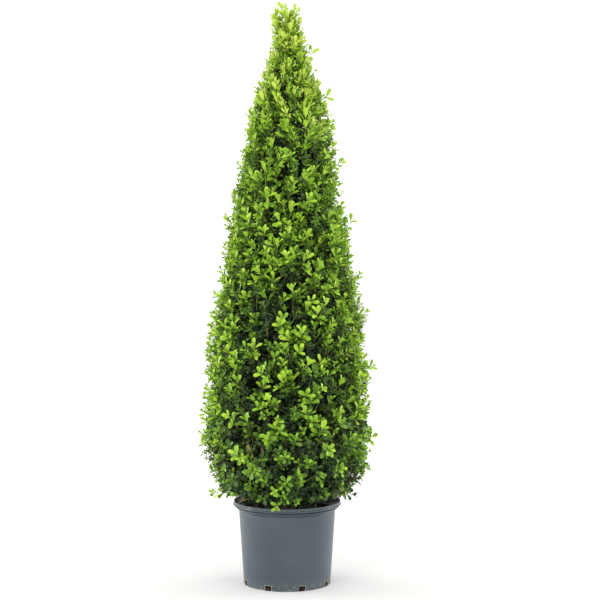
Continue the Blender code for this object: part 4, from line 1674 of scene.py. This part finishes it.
@dataclass(frozen=True)
class Compost:
    """Compost in the pot: a crumbled top, dished between the wall and the stem, with chips of bark."""

    top: float = 0.197
    dish: float = 0.004
    edge_dish: float = 0.0012
    seat: float = 0.026
    radius: float = 0.1245
    base_radius: float = 0.1120
    base: float = 0.0033
    crumb: float = 0.0034
    seat_fade: float = 0.012
    edge_fade: float = 0.003
    side_rings: int = 12
    rings: int = 90
    segments: int = 260
    chips: int = 650
    chip_seed: int = 17
    chip_size: Place = (0.0042, 0.0022, 0.0009)
    plug_radius: float = 0.1092
    plug_size: Place = (0.0060, 0.0084, 0.0092)
    plug_middle: float = 0.0026

    def top_height(self, radius: Array) -> Array:
        """Height of the dished top at a radius."""
        ends = (self.seat, 0.62 * self.radius, self.radius)
        return np.interp(radius, ends, (self.top, self.top - self.dish, self.top - self.edge_dish))

    def soil(self) -> Surface:
        """Closed body: up the tapered side, then in over the top with noise for crumbs.

        Returns:
            The surface.
        """
        side_radii = np.linspace(self.base_radius, self.radius, self.side_rings)
        edge = self.top_height(np.array(self.radius)) - 0.003
        side_heights = np.linspace(self.base, edge, self.side_rings)[:, None]
        radii = np.concatenate((side_radii, np.linspace(self.radius - 0.0004, 0.002, self.rings)))
        inner = radii[self.side_rings :, None]
        at = ringed(inner, round_turn(self.segments), 0.0)
        rough = 0.55 * lattice_noise(at, 0.009, 1) + 0.45 * lattice_noise(at, 0.0035, 2)
        fade = np.clip((inner - self.seat) / self.seat_fade, 0, 1)
        fade = fade * np.clip((self.radius - inner) / self.edge_fade, 0, 1)
        top = self.top_height(inner) + self.crumb * fade * (rough - 0.2)
        side = np.broadcast_to(side_heights, (self.side_rings, self.segments))
        return turned(radii, np.concatenate((side, top)), self.segments)

    def bark_chips(self) -> Surface:
        """Chips strewn on the top: flat boxes with uneven corners, laid nearly level.

        Returns:
            The surface of them all.
        """
        rng = np.random.default_rng(self.chip_seed)
        radius = np.sqrt(rng.uniform(0.030**2, 0.120**2, self.chips))
        angle = rng.uniform(0, math.tau, self.chips)
        centre = level(angle) * radius[:, None] + UP * (self.top_height(radius) + 0.0008)[:, None]
        along = unit(rng.normal(0, 1, (self.chips, 3)) * np.array((1, 1, 0.35)))
        across = squared(rng.normal(0, 1, (self.chips, 3)) * np.array((1, 1, 0.35)), along)
        size = rng.uniform(0.5, 1.0, (self.chips, 1)) * np.array(self.chip_size)
        corners = np.array([(x, y, z) for z in (-1, 1) for y in (-1, 1) for x in (-1, 1)])
        uneven = corners[None] * rng.uniform(0.6, 1.1, (self.chips, 8, 3)) * size[:, None]
        basis = np.stack((along, across, np.cross(along, across)), axis=1)
        points = (centre[:, None] + uneven @ basis).reshape(-1, 3)
        box = np.array(((0, 2, 3, 1), (4, 5, 7, 6), (0, 1, 5, 4), (2, 6, 7, 3), (0, 4, 6, 2), (1, 3, 7, 5)))
        faces = (box.ravel()[None] + 8 * np.arange(self.chips)[:, None]).ravel()
        return Surface(points, points[:, :2], faces, np.full(len(faces) // 4, 4))

    def plugs(self) -> Surface:
        """Lumps of compost that fill the notches.

        Each is a ball turned about +Z, with noise, stretched to its size out, across and up, and flat on
        the floor.

        Returns:
            The surface of all of them.
        """
        rise = np.linspace(-0.5, 0.5, 14) * math.pi * 0.98
        ball = turned(np.cos(rise), np.sin(rise), 20)
        made = []
        for i, out in enumerate(level(NOTCHES.angles())):
            basis = np.stack((out, np.cross(UP, out), UP))
            rough = 1 + 0.14 * lattice_noise(ball.points + 5.0 * i, 0.45, 6)[:, None]
            centre = out * self.plug_radius + UP * self.plug_middle
            points = centre + np.clip(ball.points * rough, -1, 1) * np.array(self.plug_size) @ basis
            made.append(replace(ball, points=np.maximum(points, np.array((-1.0, -1.0, 0.0003)))))
        return Surface.joined(made)

    def build(self) -> None:
        """Makes the compost and its chips."""
        soil = Surface.joined((self.soil(), self.plugs()))
        soil.add("compost_soil", CompostFinish("crumbly_compost"), "compost", "compost")
        self.bark_chips().add("compost_chips", TWIG_BARK, "compost", "compost")


@dataclass(frozen=True)
class NurseryPot:
    """Thin tapered pot with a sloping shoulder, an upright lip and drainage notches round its foot."""

    lip_radius: float
    height: float
    lip_height: float = 0.0115
    shoulder_base: float = 0.196
    neck_radius: float = 0.1272
    base_radius: float = 0.1145
    middle_radius: float = 0.030
    wall: float = 0.0022
    floor: float = 0.0030
    foot_width: float = 0.012
    foot_recess: float = 0.0012
    longest_step: float = 0.012
    sharp_angle: float = math.radians(30)
    segments: int = 240

    def corners(self) -> list[tuple[float, float, float]]:
        """Corners of the section, from the underside round the outside to the inner floor.

        Returns:
            Radius, height and rounding of each.
        """
        lip_base = self.height - self.lip_height
        inner_lip = self.lip_radius - self.wall
        foot = self.base_radius - self.foot_width
        return [
            (foot - 0.002, self.foot_recess, 0.0008),
            (foot, 0.0, 0.0008),
            (self.base_radius - 0.0002, 0.0, 0.0005),
            (self.base_radius, 0.0035, 0.0010),
            (self.neck_radius, self.shoulder_base - 0.0012, 0.0004),
            (self.neck_radius - 0.0008, self.shoulder_base - 0.0002, 0.0004),
            (self.neck_radius + 0.0012, self.shoulder_base + 0.0010, 0.0005),
            (self.lip_radius - 0.0030, lip_base - 0.0032, 0.0006),
            (self.lip_radius - 0.0066, lip_base - 0.0022, 0.0005),
            (self.lip_radius - 0.0066, lip_base + 0.0012, 0.0005),
            (self.lip_radius + 0.0002, lip_base + 0.0008, 0.0005),
            (self.lip_radius + 0.0020, lip_base + 0.0020, 0.0008),
            (self.lip_radius + 0.0014, lip_base + 0.0038, 0.0007),
            (self.lip_radius - 0.0008, lip_base + 0.0056, 0.0010),
            (self.lip_radius, self.height, 0.0014),
            (inner_lip, self.height, 0.0009),
            (inner_lip, lip_base + 0.0010, 0.0020),
            (self.neck_radius - self.wall, self.shoulder_base + 0.0010, 0.0015),
            (self.base_radius - self.wall, self.floor, 0.0020),
        ]

    def section(self) -> Array:
        """The section with each corner rounded by a curve that keeps to its two edges.

        A rounded corner = (1-t)^2 * point before + 2 t (1-t) * corner + t^2 * point after.

        Returns:
            Radii and heights along it.
        """
        corners = self.corners()
        first, last = (self.middle_radius, self.foot_recess), (self.middle_radius, self.floor)
        path = np.array([first, *(corner[:2] for corner in corners), last])
        points = [first]
        t = np.linspace(0, 1, 6)[:, None]
        for i, (_, _, rounding) in enumerate(corners, start=1):
            before = path[i] + unit(path[i - 1] - path[i]) * rounding
            after = path[i] + unit(path[i + 1] - path[i]) * rounding
            points.extend((1 - t) ** 2 * before + 2 * t * (1 - t) * path[i] + t * t * after)
        rows = np.array([*points, last])
        fine = [rows[:1]]
        for start, end in zip(rows[:-1], rows[1:]):
            steps = max(1, int(np.linalg.norm(end - start) // self.longest_step))
            fine.append(start + (end - start) * (np.arange(1, steps + 1) / steps)[:, None])
        return np.concatenate(fine).T

    def notch_cutters(self) -> Surface:
        """Blocks with rounded upper corners through the foot of the wall, one for each notch.

        Their pattern is laid from above, as the pot's is, because the cut faces take it over.

        Returns:
            The surface of them all.
        """
        half, top, under, r = NOTCHES.width / 2, NOTCHES.height, -0.004, NOTCHES.rounding
        bend = np.linspace(0, math.pi / 2, 6)
        right = np.stack((half - r + r * np.cos(bend), top - r + r * np.sin(bend)), axis=-1)
        left = right[::-1] * np.array((-1, 1))
        outline = np.concatenate((((half, under),), right, left, ((-half, under),)))
        out = level(NOTCHES.angles())
        flat = np.cross(UP, out)[:, None] * outline[None, :, :1] + UP * outline[None, :, 1:]
        ends = (self.base_radius - NOTCHES.depth / 2, self.base_radius + NOTCHES.depth / 2)
        blocks = sleeves(np.stack([flat + out[:, None] * end for end in ends], axis=1))
        return replace(blocks, uv=blocks.points[:, :2])

    def build(self) -> None:
        """Turns the pot, cuts its notches and dresses it."""
        plastic = MouldedPlastic("slate_plastic")
        pot = turned(*self.section(), self.segments).piece("pot_body", plastic)
        cutter = self.notch_cutters().piece("notch_cutter", plastic)
        cut = pot.modifiers.new("notches", "BOOLEAN")
        cut.operation = "DIFFERENCE"
        cut.object = cutter
        graph = bpy.context.evaluated_depsgraph_get()
        shaped = bpy.data.meshes.new_from_object(pot.evaluated_get(graph))
        pot.modifiers.clear()
        pot.data = shaped
        bpy.data.objects.remove(cutter, do_unlink=True)
        shaped.shade_smooth()
        shaped.set_sharp_from_angle(angle=self.sharp_angle)
        place(pot, "pot_plastic", "pot")
        log.info("%s: %d faces", pot.name, len(shaped.polygons))


# Studio


@dataclass(frozen=True)
class Lamp:
    """Soft square lamp: its place, what it points at, the length of its side and its power in watts."""

    name: str
    stand: Place
    aim: Place
    size: float
    power: float

    def build(self) -> None:
        """Hangs the lamp."""
        data = bpy.data.lights.new(self.name, "AREA")
        data.size = self.size
        data.energy = self.power
        lamp = bpy.data.objects.new(self.name, data)
        lamp.location = self.stand
        away = Vector(self.stand) - Vector(self.aim)
        lamp.rotation_euler = away.to_track_quat("Z", "Y").to_euler()
        bpy.context.scene.collection.objects.link(lamp)


@dataclass(frozen=True)
class Studio:
    """White floor, soft light and the camera."""

    floor_radius: float = 14.0
    floor_rings: int = 40
    floor_segments: int = 96
    camera_place: Place = (0.034, -4.5, 1.0315)
    camera_pitch: float = math.radians(3.6)
    focal_pixels: float = 1720.0
    image_pixels: float = 600.0
    sensor: float = 36.0
    sky: float = 1.31
    lamps: tuple[Lamp, ...] = (
        Lamp("key", (-2.4, -3.9, 2.0), (0.0, 0.0, 0.9), 2.0, 66.0),
        Lamp("fill", (2.8, -3.6, 1.8), (0.0, 0.0, 0.8), 2.0, 26.0),
        Lamp("left_rim", (-5.2, 1.6, 1.5), (0.0, 0.0, 0.9), 2.8, 170.0),
        Lamp("right_rim", (5.2, 1.6, 1.5), (0.0, 0.0, 0.9), 2.8, 150.0),
    )

    def build_floor(self) -> None:
        """Makes the floor: a level disc whose rings lie closer together near the plant."""
        radii = self.floor_radius * np.linspace(0.002, 1, self.floor_rings) ** 2
        surface = turned(radii[::-1], np.zeros(self.floor_rings), self.floor_segments, under=False)
        floor = surface.piece("floor", FloorFinish("floor_white"))
        log.info("floor: %d faces", len(floor.data.polygons))

    def build_sky(self) -> None:
        """Lights the scene evenly from all round."""
        world = bpy.data.worlds.new("studio")
        world.use_nodes = True
        background = world.node_tree.nodes["Background"]
        background.inputs["Color"].default_value = (1.0, 1.0, 1.0, 1.0)
        background.inputs["Strength"].default_value = self.sky
        bpy.context.scene.world = world

    def build_camera(self) -> None:
        """Adds the camera, level with the middle of the crown and tipped down a little."""
        data = bpy.data.cameras.new("camera")
        data.sensor_width = self.sensor
        data.lens = self.focal_pixels / self.image_pixels * self.sensor
        data.clip_end = 100.0
        camera = bpy.data.objects.new("camera", data)
        camera.location = self.camera_place
        camera.rotation_euler = (math.pi / 2 - self.camera_pitch, 0, 0)
        bpy.context.scene.collection.objects.link(camera)
        bpy.context.scene.camera = camera

    def build(self) -> None:
        """Builds the whole studio."""
        self.build_floor()
        self.build_sky()
        for lamp in self.lamps:
            lamp.build()
        self.build_camera()
        bpy.context.scene.view_settings.view_transform = "Standard"
        bpy.context.scene.view_settings.look = "None"


def main() -> None:
    """Builds the plant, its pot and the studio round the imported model."""
    logging.basicConfig(level=logging.INFO, format="%(message)s")
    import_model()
    _, pot_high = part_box("pot")
    NurseryPot(pot_high.x, pot_high.z).build()
    Compost().build()
    stem = Stem()
    stem.build()
    stem.build_leader()
    for tier in TIERS:
        tier.build()
    DEAD_TWIGS.build()
    STRAWS.build()
    Studio().build()


if __name__ == "__main__":
    main()
